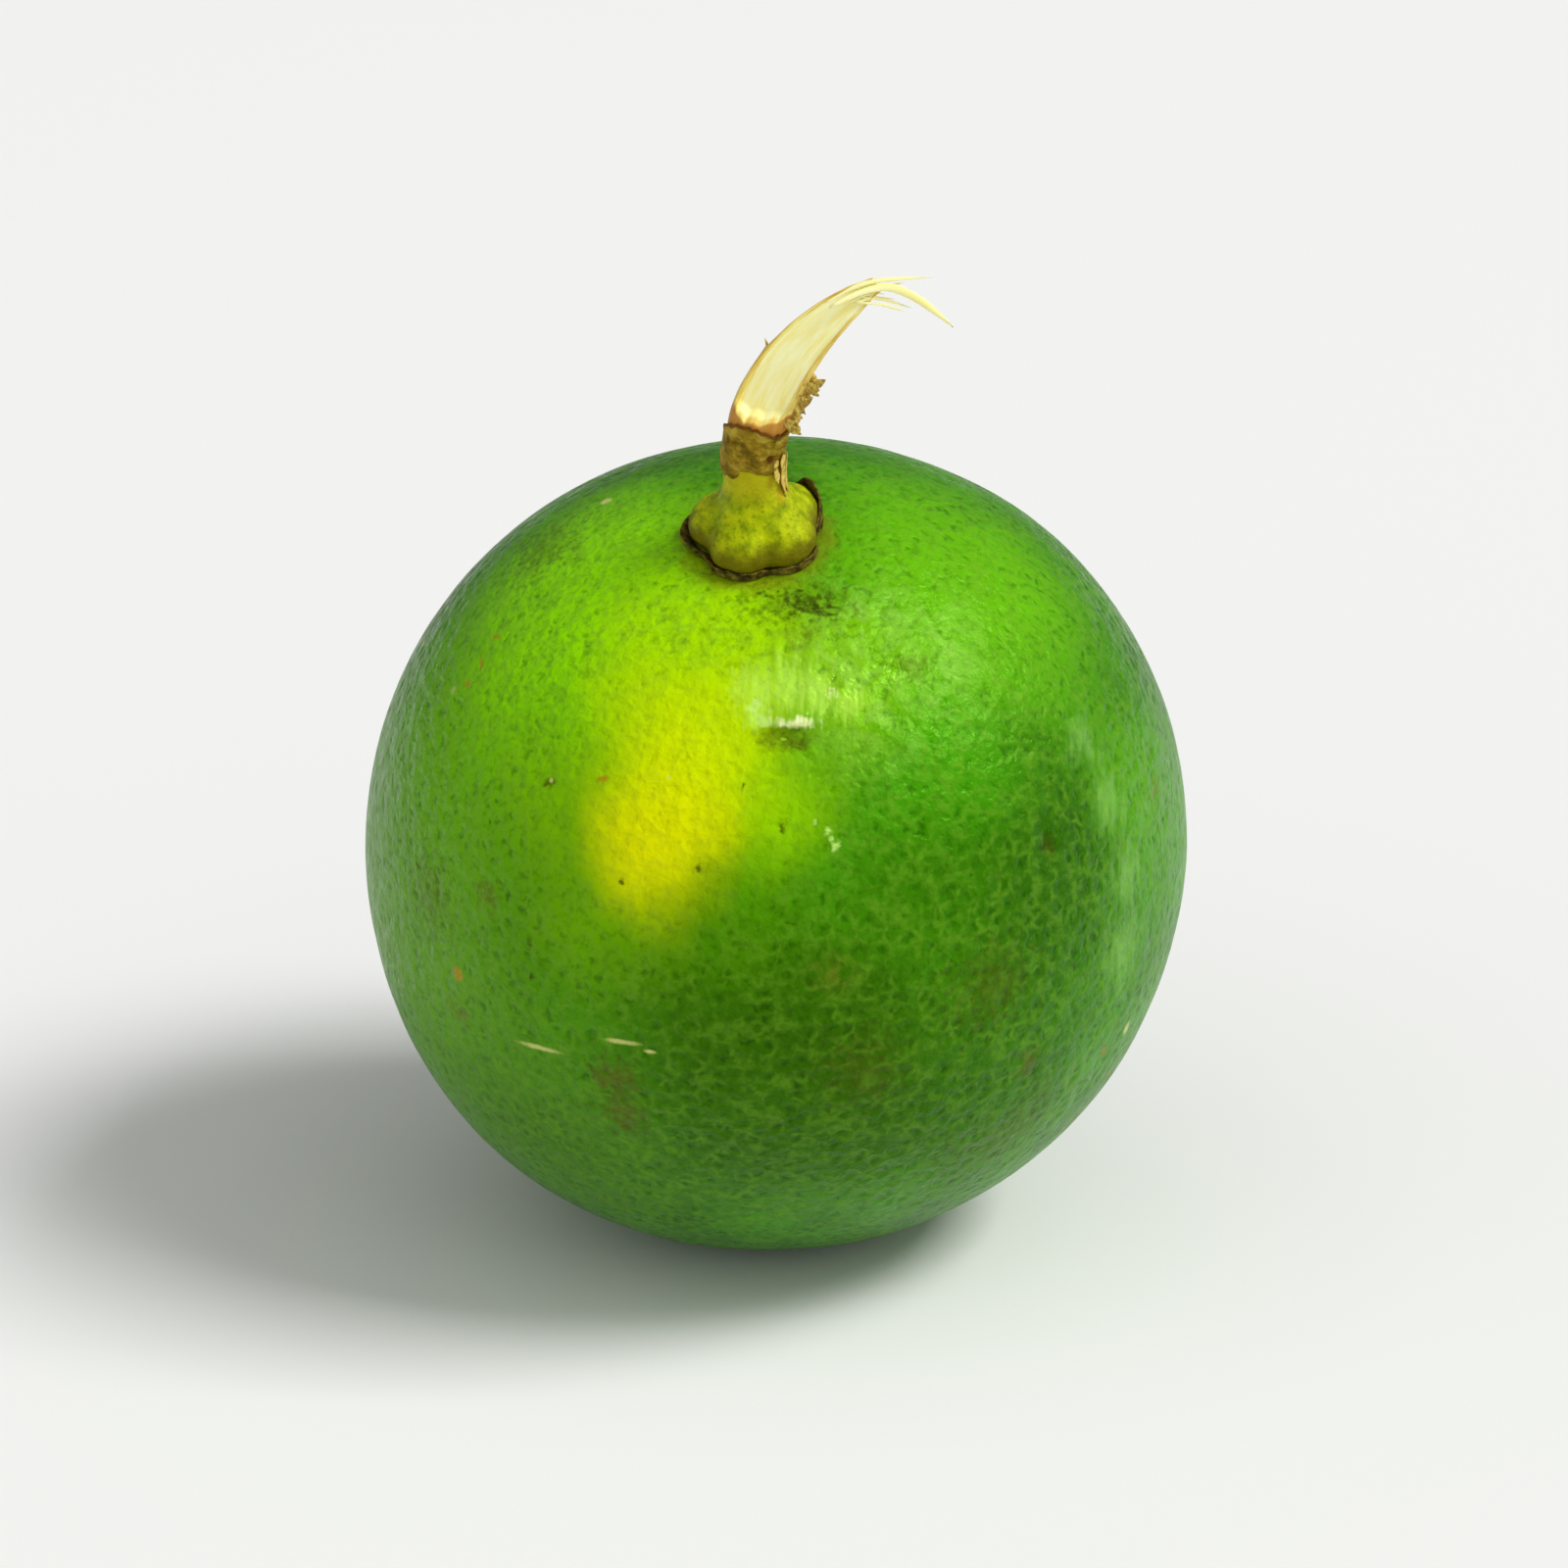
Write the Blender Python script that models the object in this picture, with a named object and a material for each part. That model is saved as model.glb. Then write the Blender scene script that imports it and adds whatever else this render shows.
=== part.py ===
"""Lime with its calyx and torn stem, resting on a small flat spot.

Metres, +Z up. The origin is the centre of the resting spot, and the stem end leans towards -Y.
Every piece is modelled in the fruit's own frame, whose origin is the middle of the fruit and
whose +Z runs along the fruit's axis to the stem end. The empty "stand" leans that frame over
and lifts it, so that the resting spot lies flat at z = 0.
"""

import math

import bmesh
import bpy
from mathutils import Euler, Matrix, Vector

# The fruit
FRUIT_WIDTH = 0.0450  # across the waist
FRUIT_LENGTH = 0.0446  # along the axis, without hollow or nipple
FRUIT_SEGMENTS = 48
FRUIT_RINGS = 32
HOLLOW_DEPTH = 0.0004  # shallow hollow that the calyx sits in
HOLLOW_REACH = 0.0052
NIPPLE_HEIGHT = 0.0011  # blunt point at the blossom end
NIPPLE_REACH = 0.0024
BULGE_POWER = 6  # a higher power makes a narrower bulge
BULGES = (  # direction from the middle, and how far the skin swells out there
    (Vector((-0.74, -0.47, -0.48)), 0.0006),
    (Vector((-0.76, -0.03, 0.65)), 0.0003),
    (Vector((0.83, 0.36, 0.43)), 0.0003),
)

# How it rests
LEAN_FORWARD = math.radians(23.0)  # stem end towards -Y
LEAN_LEFT = math.radians(2.9)  # stem end towards -X
REST_RADIUS = 0.0040  # flat spot pressed by the fruit's own weight

# The calyx, a five-lobed button that narrows into a short green neck
CALYX_WIDTH = 0.0071  # midway between a lobe and a notch
LOBE_COUNT = 5
LOBE_REACH = 0.00025  # how far each lobe stands out past the button
LOBE_TURN = math.radians(19.0)  # direction of the first lobe, from +X
CALYX_THICKNESS = 0.0029  # from the fruit to where the button has become neck
CALYX_SEGMENTS = 40
LIP_HEIGHT = 0.0009  # the edge of the button
UNDER_SHARE = 0.94  # the underside reaches this share of the width
CROWN_SHARE = 0.98  # and so does the foot of the crown, inside a rounded edge
NECK_WIDTH = 0.0034
NECK_LENGTH = 0.0044  # from the fruit to the bark

# The stem, which follows one curve from the neck to its torn end
BARK_LENGTH = 0.0032
BARK_SWELL = 0.00008  # the bark stands proud of the neck
STEM_TIP = Vector((0.0068, 0.0022, 0.0091))  # torn end, from the top of the neck
STEM_RISE = 0.0046  # pull of the curve straight up out of the neck
STEM_REACH = Vector((0.0039, 0.0006, 0.0017))  # pull of the curve into the torn end
TORN_FACE = Vector((0.0, -0.73, 0.69))  # the side that the bare wood is split open on
TORN_SLANT = Vector((-0.42, -0.12, 1.0))  # across the tear between bark and wood
TORN_WIDTH = 0.0012  # of the wood at its torn end
NARROWS_FROM = 0.30  # share of the curve where the stem starts to narrow
TORN_FLATNESS = 0.62  # thickness over width of the split wood
FLAT_FROM = 0.60  # share of the curve where it is as flat as that
STEM_SIDES = 20
STEM_STEPS = 18

# The two frayed fibres, each from the torn end
FIBRE_WIDTH = 0.00042
FIBRE_END_WIDTH = 0.00022
FIBRE_ROOT = 0.0006  # how deep a fibre starts inside the wood
FIBRE_OFFSET = Vector((0.0, 0.0, 0.00015))  # of each fibre from the middle of the torn end
FIBRE_SIDES = 8
FIBRE_STEPS = 7
STRAIGHT_FIBRE = Vector((0.0023, 0.0001, 0.0001))
CURVED_FIBRE = Vector((0.0031, -0.0012, -0.0014))
CURVED_FIBRE_PULL = Vector((0.0018, 0.0001, 0.0002))

SEAT_GAP = 0.0003  # between every two pieces that touch
SHARP_FROM = math.radians(40.0)  # edges that turn more than this are shaded sharp


def clear_scene():
    for thing in list(bpy.data.objects):
        bpy.data.objects.remove(thing, do_unlink=True)


def linear(channel):
    """One sRGB channel, 0 to 255, as linear light."""
    share = channel / 255
    if share <= 0.04045:
        return share / 12.92
    return ((share + 0.055) / 1.055) ** 2.4


def make_material(name, red, green, blue, roughness):
    material = bpy.data.materials.new(name)
    material.use_nodes = True
    shader = material.node_tree.nodes["Principled BSDF"]
    shader.inputs["Base Color"].default_value = (linear(red), linear(green), linear(blue), 1.0)
    shader.inputs["Roughness"].default_value = roughness
    shader.inputs["Metallic"].default_value = 0.0
    return material


def make_object(name, mesh_data, material, parent):
    """Turns a finished bmesh into a named, smooth-shaded object in the fruit's frame."""
    bmesh.ops.recalc_face_normals(mesh_data, faces=mesh_data.faces[:])
    mesh = bpy.data.meshes.new(name)
    mesh_data.to_mesh(mesh)
    mesh_data.free()
    mesh.shade_smooth()
    mesh.set_sharp_from_angle(angle=SHARP_FROM)
    mesh.materials.append(material)
    thing = bpy.data.objects.new(name, mesh)
    thing.parent = parent
    bpy.context.collection.objects.link(thing)
    return thing


def cut_off(shape, point, outwards):
    """Cuts a solid along a plane, removes what lies outwards of it and closes the cut."""
    bmesh.ops.bisect_plane(
        shape,
        geom=shape.verts[:] + shape.edges[:] + shape.faces[:],
        plane_co=point,
        plane_no=outwards,
        dist=1e-7,
        clear_outer=True,
    )
    rim = [edge for edge in shape.edges if edge.is_boundary]
    bmesh.ops.contextual_create(shape, geom=rim)


def mound(height, reach, angle):
    """A smooth round mound on the skin: its height at an angle from its middle."""
    distance = angle * FRUIT_WIDTH / 2
    return height * math.exp(-((distance / reach) ** 2))


def skin_radius(direction):
    """Distance from the fruit's middle to its skin, along a unit direction."""
    radius = FRUIT_WIDTH / 2 + (FRUIT_LENGTH - FRUIT_WIDTH) / 2 * direction.z**2
    for bulge_direction, height in BULGES:
        facing = max(0.0, direction.dot(bulge_direction.normalized()))
        radius += height * facing**BULGE_POWER
    polar = direction.angle(Vector((0, 0, 1)))
    radius -= mound(HOLLOW_DEPTH, HOLLOW_REACH, polar)
    radius += mound(NIPPLE_HEIGHT, NIPPLE_REACH, math.pi - polar)
    return radius


def lean():
    """Turns the fruit's frame into the world's."""
    return Euler((LEAN_FORWARD, -LEAN_LEFT, 0.0), "XYZ").to_matrix()


def rest_direction():
    """Straight down, seen in the fruit's frame."""
    return lean().transposed() @ Vector((0, 0, -1))


def rest_height():
    """Height of the fruit's middle over the resting spot."""
    return math.sqrt(skin_radius(rest_direction()) ** 2 - REST_RADIUS**2)


def build_fruit(stand):
    shape = bmesh.new()
    bmesh.ops.create_uvsphere(
        shape, u_segments=FRUIT_SEGMENTS, v_segments=FRUIT_RINGS, radius=FRUIT_WIDTH / 2
    )
    for vertex in shape.verts:
        direction = vertex.co.normalized()
        vertex.co = direction * skin_radius(direction)
    down = rest_direction()
    cut_off(shape, down * rest_height(), down)
    rind = make_material("lime_rind", 74, 138, 22, 0.38)
    return make_object("fruit", shape, rind, stand)


def seat_height():
    """Height of the skin under the calyx, at the fruit's axis."""
    return skin_radius(Vector((0, 0, 1)))


def neck_top():
    return seat_height() + NECK_LENGTH


def calyx_underside():
    """Points (distance from the axis, height over the seat) out along the underside."""
    over = seat_height() + SEAT_GAP
    steps = 4
    reach = CALYX_WIDTH / 2 * UNDER_SHARE
    across = [reach * step / steps for step in range(steps + 1)]
    return [(distance, math.sqrt(over**2 - distance**2) - seat_height()) for distance in across]


def calyx_profile():
    """Points (distance from the axis, height over the seat) up the button and its neck."""
    rim = CALYX_WIDTH / 2
    neck = NECK_WIDTH / 2
    points = [(rim, LIP_HEIGHT * 0.5)]
    steps = 7
    for step in range(steps + 1):  # the crown, which curves in and up like a bell
        turn = math.pi * step / steps
        across = neck + (rim * CROWN_SHARE - neck) * (1 + math.cos(turn)) / 2
        points.append((across, LIP_HEIGHT + (CALYX_THICKNESS - LIP_HEIGHT) * step / steps))
    points.append((neck, NECK_LENGTH))
    points.append((0.0, NECK_LENGTH))
    return points


def build_calyx(stand):
    """A turned button and neck, whose lobes are then drawn out and laid on the skin."""
    seat = seat_height()
    shape = bmesh.new()
    profile = calyx_underside() + calyx_profile()
    verts = [shape.verts.new((across, 0.0, seat + height)) for across, height in profile]
    edges = [shape.edges.new(pair) for pair in zip(verts, verts[1:])]
    bmesh.ops.spin(
        shape,
        geom=verts + edges,
        cent=(0, 0, 0),
        axis=(0, 0, 1),
        angle=2 * math.pi,
        steps=CALYX_SEGMENTS,
        use_merge=True,
    )
    bmesh.ops.remove_doubles(shape, verts=shape.verts[:], dist=1e-6)
    for vertex in shape.verts:
        draw_out_lobe(vertex)
        lay_on_skin(vertex)
    skin = make_material("calyx_green", 164, 168, 17, 0.6)
    return make_object("calyx", shape, skin, stand)


def draw_out_lobe(vertex):
    """Moves a point of the button outwards at a lobe and inwards at a notch, none at the neck."""
    outwards = Vector((vertex.co.x, vertex.co.y, 0.0))
    neck = NECK_WIDTH / 2
    share = (outwards.length - neck) / (CALYX_WIDTH / 2 - neck)
    if share > 0:
        turn = math.atan2(outwards.y, outwards.x) - LOBE_TURN
        vertex.co += outwards.normalized() * LOBE_REACH * math.cos(LOBE_COUNT * turn) * share


def lay_on_skin(vertex):
    """Follows the skin's rise and fall: fully on the underside, not at all over the crown."""
    direction = vertex.co.normalized()
    height = vertex.co.length - seat_height() - SEAT_GAP
    share = 1 - min(1.0, max(0.0, height / (CALYX_THICKNESS - SEAT_GAP)))
    vertex.co += direction * (skin_radius(direction) - seat_height()) * share


def stem_point(share):
    """A point of the stem's curve, from the top of the neck at 0 to the torn end at 1."""
    foot = Vector((0, 0, neck_top()))
    tip = foot + STEM_TIP
    pulls = (foot, foot + Vector((0, 0, STEM_RISE)), tip - STEM_REACH, tip)
    return bezier(pulls, share)


def bezier(pulls, share):
    rest = 1 - share
    weights = (rest**3, 3 * rest**2 * share, 3 * rest * share**2, share**3)
    return sum((pull * weight for pull, weight in zip(pulls, weights)), Vector())


def stem_width(share):
    """The stem's width along its curve: full along the bark, then narrowing to the torn end."""
    full = NECK_WIDTH + 2 * BARK_SWELL
    fade = max(0.0, (share - NARROWS_FROM) / (1 - NARROWS_FROM))
    return full + (TORN_WIDTH - full) * fade


def stem_flatness(share):
    """The stem's thickness over its width: round at the neck, then ever flatter."""
    return 1 + (TORN_FLATNESS - 1) * min(1.0, share / FLAT_FROM)


def sweep(point_at, width_at, flatness_at, facing, steps, sides):
    """A closed solid of elliptic rings along a curve, flattened on the side called facing."""
    shape = bmesh.new()
    loops = []
    for step in range(steps + 1):
        share = step / steps
        near = point_at(max(0.0, share - 0.01))
        far = point_at(min(1.0, share + 0.01))
        along = (far - near).normalized()
        thick = (facing - along * facing.dot(along)).normalized()
        wide = thick.cross(along)
        turn = Matrix((wide, thick, along)).transposed().to_4x4()
        size = Matrix.Diagonal((1.0, flatness_at(share), 1.0, 1.0))
        ring = bmesh.ops.create_circle(
            shape,
            cap_ends=False,
            segments=sides,
            radius=width_at(share) / 2,
            matrix=Matrix.Translation(point_at(share)) @ turn @ size,
        )
        loops.append({edge for vertex in ring["verts"] for edge in vertex.link_edges})
    for lower, upper in zip(loops, loops[1:]):
        bmesh.ops.bridge_loops(shape, edges=list(lower | upper))
    for end in (loops[0], loops[-1]):
        bmesh.ops.contextual_create(shape, geom=list(end))
    return shape


def stem_solid():
    return sweep(stem_point, stem_width, stem_flatness, TORN_FACE, STEM_STEPS, STEM_SIDES)


def tear_point():
    """Where the bark ends, on the stem's axis."""
    return Vector((0, 0, neck_top() + BARK_LENGTH))


def build_bark(stand):
    shape = stem_solid()
    cut_off(shape, Vector((0, 0, neck_top() + SEAT_GAP)), Vector((0, 0, -1)))
    cut_off(shape, tear_point(), TORN_SLANT)
    bark = make_material("stem_bark", 111, 92, 24, 0.8)
    return make_object("stem_bark", shape, bark, stand)


def join_fibre(wood, name, offset, pull, reach, material, stand):
    """Joins one frayed fibre to the wood: it starts inside, and leaves the torn end for reach."""
    tip = stem_point(1.0) + offset
    root = tip - STEM_REACH.normalized() * FIBRE_ROOT
    pulls = (root, tip, tip + pull, tip + reach)

    def point_at(share):
        return bezier(pulls, share)

    def width_at(share):
        return FIBRE_WIDTH + (FIBRE_END_WIDTH - FIBRE_WIDTH) * share

    def flatness_at(share):
        return 1.0

    shape = sweep(point_at, width_at, flatness_at, TORN_FACE, FIBRE_STEPS, FIBRE_SIDES)
    fibre = make_object(name, shape, material, stand)
    fibre.hide_render = True
    fibre.display_type = "WIRE"
    join = wood.modifiers.new(name, "BOOLEAN")
    join.operation = "UNION"
    join.solver = "EXACT"
    join.object = fibre


def build_wood(stand):
    shape = stem_solid()
    slant = TORN_SLANT.normalized()
    cut_off(shape, tear_point() + slant * SEAT_GAP, -slant)
    pale = make_material("bare_wood", 243, 235, 150, 0.65)
    wood = make_object("stem_wood", shape, pale, stand)

    tip = stem_point(1.0)
    root = tip - STEM_REACH.normalized() * FIBRE_ROOT
    join_fibre(wood, "straight_fibre", FIBRE_OFFSET, STRAIGHT_FIBRE / 2, STRAIGHT_FIBRE, pale, stand)
    join_fibre(wood, "curved_fibre", -FIBRE_OFFSET, CURVED_FIBRE_PULL, CURVED_FIBRE, pale, stand)
    return wood


def build_lime():
    clear_scene()
    stand = bpy.data.objects.new("stand", None)
    bpy.context.collection.objects.link(stand)
    stand.location = (0, 0, rest_height())
    stand.rotation_euler = (LEAN_FORWARD, -LEAN_LEFT, 0.0)
    build_fruit(stand)
    build_calyx(stand)
    build_bark(stand)
    build_wood(stand)


build_lime()
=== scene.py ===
# A whole lime as picked, resting on its own small flat, with its calyx and a torn stem.
# Places and sizes are in mm from the middle of the fruit until a mesh is written, which is in metres.
import math
import random

import bmesh
import bpy
import numpy as np
from mathutils import Euler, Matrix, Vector, noise


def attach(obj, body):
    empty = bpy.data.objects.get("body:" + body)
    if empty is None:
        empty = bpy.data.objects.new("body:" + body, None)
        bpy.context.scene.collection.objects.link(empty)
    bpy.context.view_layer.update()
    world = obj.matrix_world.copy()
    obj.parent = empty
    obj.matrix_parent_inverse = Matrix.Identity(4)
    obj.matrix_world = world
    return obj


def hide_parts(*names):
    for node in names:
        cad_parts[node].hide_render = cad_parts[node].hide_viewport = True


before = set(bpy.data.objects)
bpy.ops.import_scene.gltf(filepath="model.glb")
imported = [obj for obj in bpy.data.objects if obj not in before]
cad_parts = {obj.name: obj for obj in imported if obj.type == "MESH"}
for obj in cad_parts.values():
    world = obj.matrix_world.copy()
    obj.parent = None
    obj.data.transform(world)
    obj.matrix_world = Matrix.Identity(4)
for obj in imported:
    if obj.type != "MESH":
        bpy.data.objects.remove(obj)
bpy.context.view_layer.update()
mm = 0.001

viewpoint = {  # where the camera stands, as seen from the middle of the fruit
    "elevation": 20.5,  # degrees over the floor
    "distance": 270.0,
    "lens": 112.0,
    "aimUp": 3.2,  # mm over the middle of the fruit
    "aimRight": 0.4,
}

limeFruit = {  # the same fruit as the CAD node, smoother
    "width": 45.0,
    "length": 44.6,
    "leanForward": 23.0,  # degrees, stem end towards the camera
    "leanLeft": 2.9,
    "restRadius": 4.0,
    "hollowDepth": 0.4,
    "hollowReach": 5.2,
    "nippleHeight": 1.1,
    "nippleReach": 2.4,
    "bulgePower": 6,
    "bulges": [((-0.74, -0.47, -0.48), 0.6), ((-0.76, -0.03, 0.65), 0.3), ((0.83, 0.36, 0.43), 0.3)],
    "cellsPerSide": 128,
    "sway": 0.09,  # slow unevenness of the peel
    "swaySize": 7.0,
    "ripple": 0.022,  # finer unevenness
    "rippleSize": 2.2,
    "glandSpacing": 0.82,  # oil glands, centre to centre
    "glandDepth": 0.022,
}


# shared helpers
def hexColour(code, alpha=1.0):  # sRGB hex to the linear colour that a shader wants
    channels = [int(code[i:i + 2], 16) / 255 for i in (1, 3, 5)]
    linear = [c / 12.92 if c <= 0.04045 else ((c + 0.055) / 1.055) ** 2.4 for c in channels]
    return (*linear, alpha)


def addNode(tree, kind, settings=None, links=None):  # one node with its settings and what feeds it
    node = tree.nodes.new(kind)
    for key, value in (settings or {}).items():
        if isinstance(key, str) and hasattr(node, key):
            setattr(node, key, value)
        else:
            node.inputs[key].default_value = value
    for key, source in (links or {}).items():
        tree.links.new(source, node.inputs[key])
    return node


def smoothStep(low, high, value):
    share = np.clip((value - low) / (high - low), 0.0, 1.0)
    return share * share * (3 - 2 * share)


def smoothPath(points, share):  # a Catmull-Rom curve through points, 0 to 1
    points = [np.array(point, float) for point in points]
    spans = len(points) - 1
    place = min(max(share, 0.0), 1.0) * spans
    span = min(int(place), spans - 1)
    t = place - span
    before = points[max(span - 1, 0)]
    start, end = points[span], points[span + 1]
    after = points[min(span + 2, spans)]
    return 0.5 * (
        2 * start
        + (end - before) * t
        + (2 * before - 5 * start + 4 * end - after) * t**2
        + (3 * start - before - 3 * end + after) * t**3
    )


def ruffle(x, y, z, size, seed=0.0):  # smooth noise, about -1 to 1, with lumps of a size in mm
    return noise.noise(Vector((x / size + seed, y / size - seed, z / size + 0.5 * seed)))


# the fruit's own frame and the shape of its skin
fruitTurn = np.array(
    Euler((math.radians(limeFruit["leanForward"]), -math.radians(limeFruit["leanLeft"]), 0.0)).to_matrix()
)


def skinRadius(directions):  # from the middle to the skin, for unit directions in the fruit's frame
    half = limeFruit["width"] / 2
    radius = half + (limeFruit["length"] - limeFruit["width"]) / 2 * directions[:, 2] ** 2
    for aim, height in limeFruit["bulges"]:
        facing = np.clip(directions @ (np.array(aim) / np.linalg.norm(aim)), 0.0, 1.0)
        radius = radius + height * facing ** limeFruit["bulgePower"]
    polar = np.arccos(np.clip(directions[:, 2], -1.0, 1.0)) * half
    radius = radius - limeFruit["hollowDepth"] * np.exp(-((polar / limeFruit["hollowReach"]) ** 2))
    fromNipple = math.pi * half - polar
    return radius + limeFruit["nippleHeight"] * np.exp(-((fromNipple / limeFruit["nippleReach"]) ** 2))


def skinAt(direction):
    return float(skinRadius(np.array([direction], float) / np.linalg.norm(direction))[0])


restHeight = math.sqrt(skinAt(fruitTurn.T @ np.array((0, 0, -1.0))) ** 2 - limeFruit["restRadius"] ** 2)
fruitMiddle = np.array((0.0, 0.0, restHeight))
seatHeight = skinAt((0, 0, 1.0))


def toWorld(points):  # mm in the fruit's frame to metres in the row frame
    return (np.asarray(points) @ fruitTurn.T + fruitMiddle) * mm


# the view from the front, which marks on the skin are placed by
tilt = math.radians(viewpoint["elevation"])
viewRight = np.array((1.0, 0.0, 0.0))
viewUp = np.array((0.0, math.sin(tilt), math.cos(tilt)))
viewBack = np.array((0.0, -math.cos(tilt), math.sin(tilt)))


def onFront(right, up):  # a place on the skin, by mm right of and above the fruit's middle from the front
    eye = viewBack * viewpoint["distance"]
    ray = viewRight * right + viewUp * up - eye
    ray = ray / np.linalg.norm(ray)
    along = eye @ ray
    reach = along**2 - eye @ eye + (limeFruit["width"] / 2) ** 2
    return eye + ray * (-along - math.sqrt(max(reach, 0.0)))


# meshes
def finishPiece(name, shape, material, smooth=True):  # bmesh to an object at the origin
    mesh = bpy.data.meshes.new(name)
    shape.to_mesh(mesh)
    shape.free()
    if smooth:
        mesh.shade_smooth()
    mesh.materials.append(material)
    piece = bpy.data.objects.new(name, mesh)
    bpy.context.scene.collection.objects.link(piece)
    return piece


def addTube(shape, sides, steps, surfaceAt, closed=False):
    # a turned tube, then every point goes where surfaceAt(share, angle) says, in the fruit's frame;
    # "straight" keeps where it was before it was bent, in mm, and "worn" what the material wants to know
    straight = shape.verts.layers.float_vector["straight"]
    worn = shape.verts.layers.float["worn"]
    before = len(shape.verts)
    verts = [shape.verts.new((1.0, 0.0, step / steps)) for step in range(steps + 1)]
    edges = [shape.edges.new(pair) for pair in zip(verts, verts[1:])]
    bmesh.ops.spin(
        shape, geom=verts + edges, cent=(0, 0, 0), axis=(0, 0, 1), angle=2 * math.pi, steps=sides,
        use_merge=True
    )
    shape.verts.ensure_lookup_table()
    fresh = shape.verts[before:]
    if not closed:
        rims = {edge for vert in fresh for edge in vert.link_edges if edge.is_boundary}
        bmesh.ops.holes_fill(shape, edges=list(rims), sides=0)
    for vert in fresh:
        point, vert[straight], vert[worn] = surfaceAt(vert.co.z, math.atan2(vert.co.y, vert.co.x))
        vert.co = toWorld(point)
    if closed:
        bmesh.ops.remove_doubles(shape, verts=fresh, dist=1e-8)


def startTubes():
    shape = bmesh.new()
    shape.verts.layers.float_vector.new("straight")
    shape.verts.layers.float.new("worn")
    return shape


def finishTubes(name, shape, material):
    bmesh.ops.recalc_face_normals(shape, faces=shape.faces[:])
    return finishPiece(name, shape, material)


def turnTube(name, sides, steps, surfaceAt, material, closed=False):
    shape = startTubes()
    addTube(shape, sides, steps, surfaceAt, closed)
    return finishTubes(name, shape, material)


# the lime's rind
skinTints = [  # (right, up, inner reach, outer reach, colour, strength)
    (-20.0, -4.0, 2.0, 19.0, "#5e9c0a", 0.9),  # the duller left side
    (-15.0, 8.0, 2.0, 13.0, "#72bc02", 0.85),
    (-9.0, 13.5, 1.0, 13.0, "#90e000", 0.95),  # the sunny shoulder, left of the calyx
    (-4.2, 11.0, 1.0, 8.3, "#a6d800", 0.85),
    (-9.5, -3.5, 1.0, 7.0, "#74b002", 0.75),
    (-12.0, 2.5, 1.0, 5.5, "#7cb402", 0.6),
    (-1.5, -4.5, 1.0, 5.5, "#549802", 0.7),
    (-0.5, 2.5, 1.0, 5.6, "#90cc02", 0.8),  # yellow-green right of the ripe patch
    (-5.0, 5.6, 1.0, 7.2, "#c2e000", 0.9),
    (-6.3, 2.3, 0.5, 5.2, "#d8e600", 0.8),  # the ripe yellow patch
    (-6.9, -0.6, 0.4, 5.4, "#e0e400", 0.95),
    # painted highlight: a brighter yellow-green tint where the broad highlight lies
    (4.0, 9.5, 1.0, 6.2, "#9ad60e", 0.6),
    (9.6, 15.0, 3.0, 12.0, "#6abc02", 0.78),
    (14.8, -1.8, 2.0, 10.5, "#265a02", 0.85),  # the greener right side
    (8.5, -3.0, 1.0, 6.5, "#2f7002", 0.65),
    (9.4, 4.6, 1.0, 6.5, "#46ac04", 0.45),
    (20.0, 3.5, 1.0, 7.5, "#549e06", 0.7),
    (1.0, -14.0, 4.0, 14.0, "#2c5802", 0.8),
    (12.0, -12.0, 2.0, 9.0, "#2c6204", 0.6),
    (-12.0, -17.0, 2.0, 10.0, "#42720c", 0.65),
]
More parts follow.
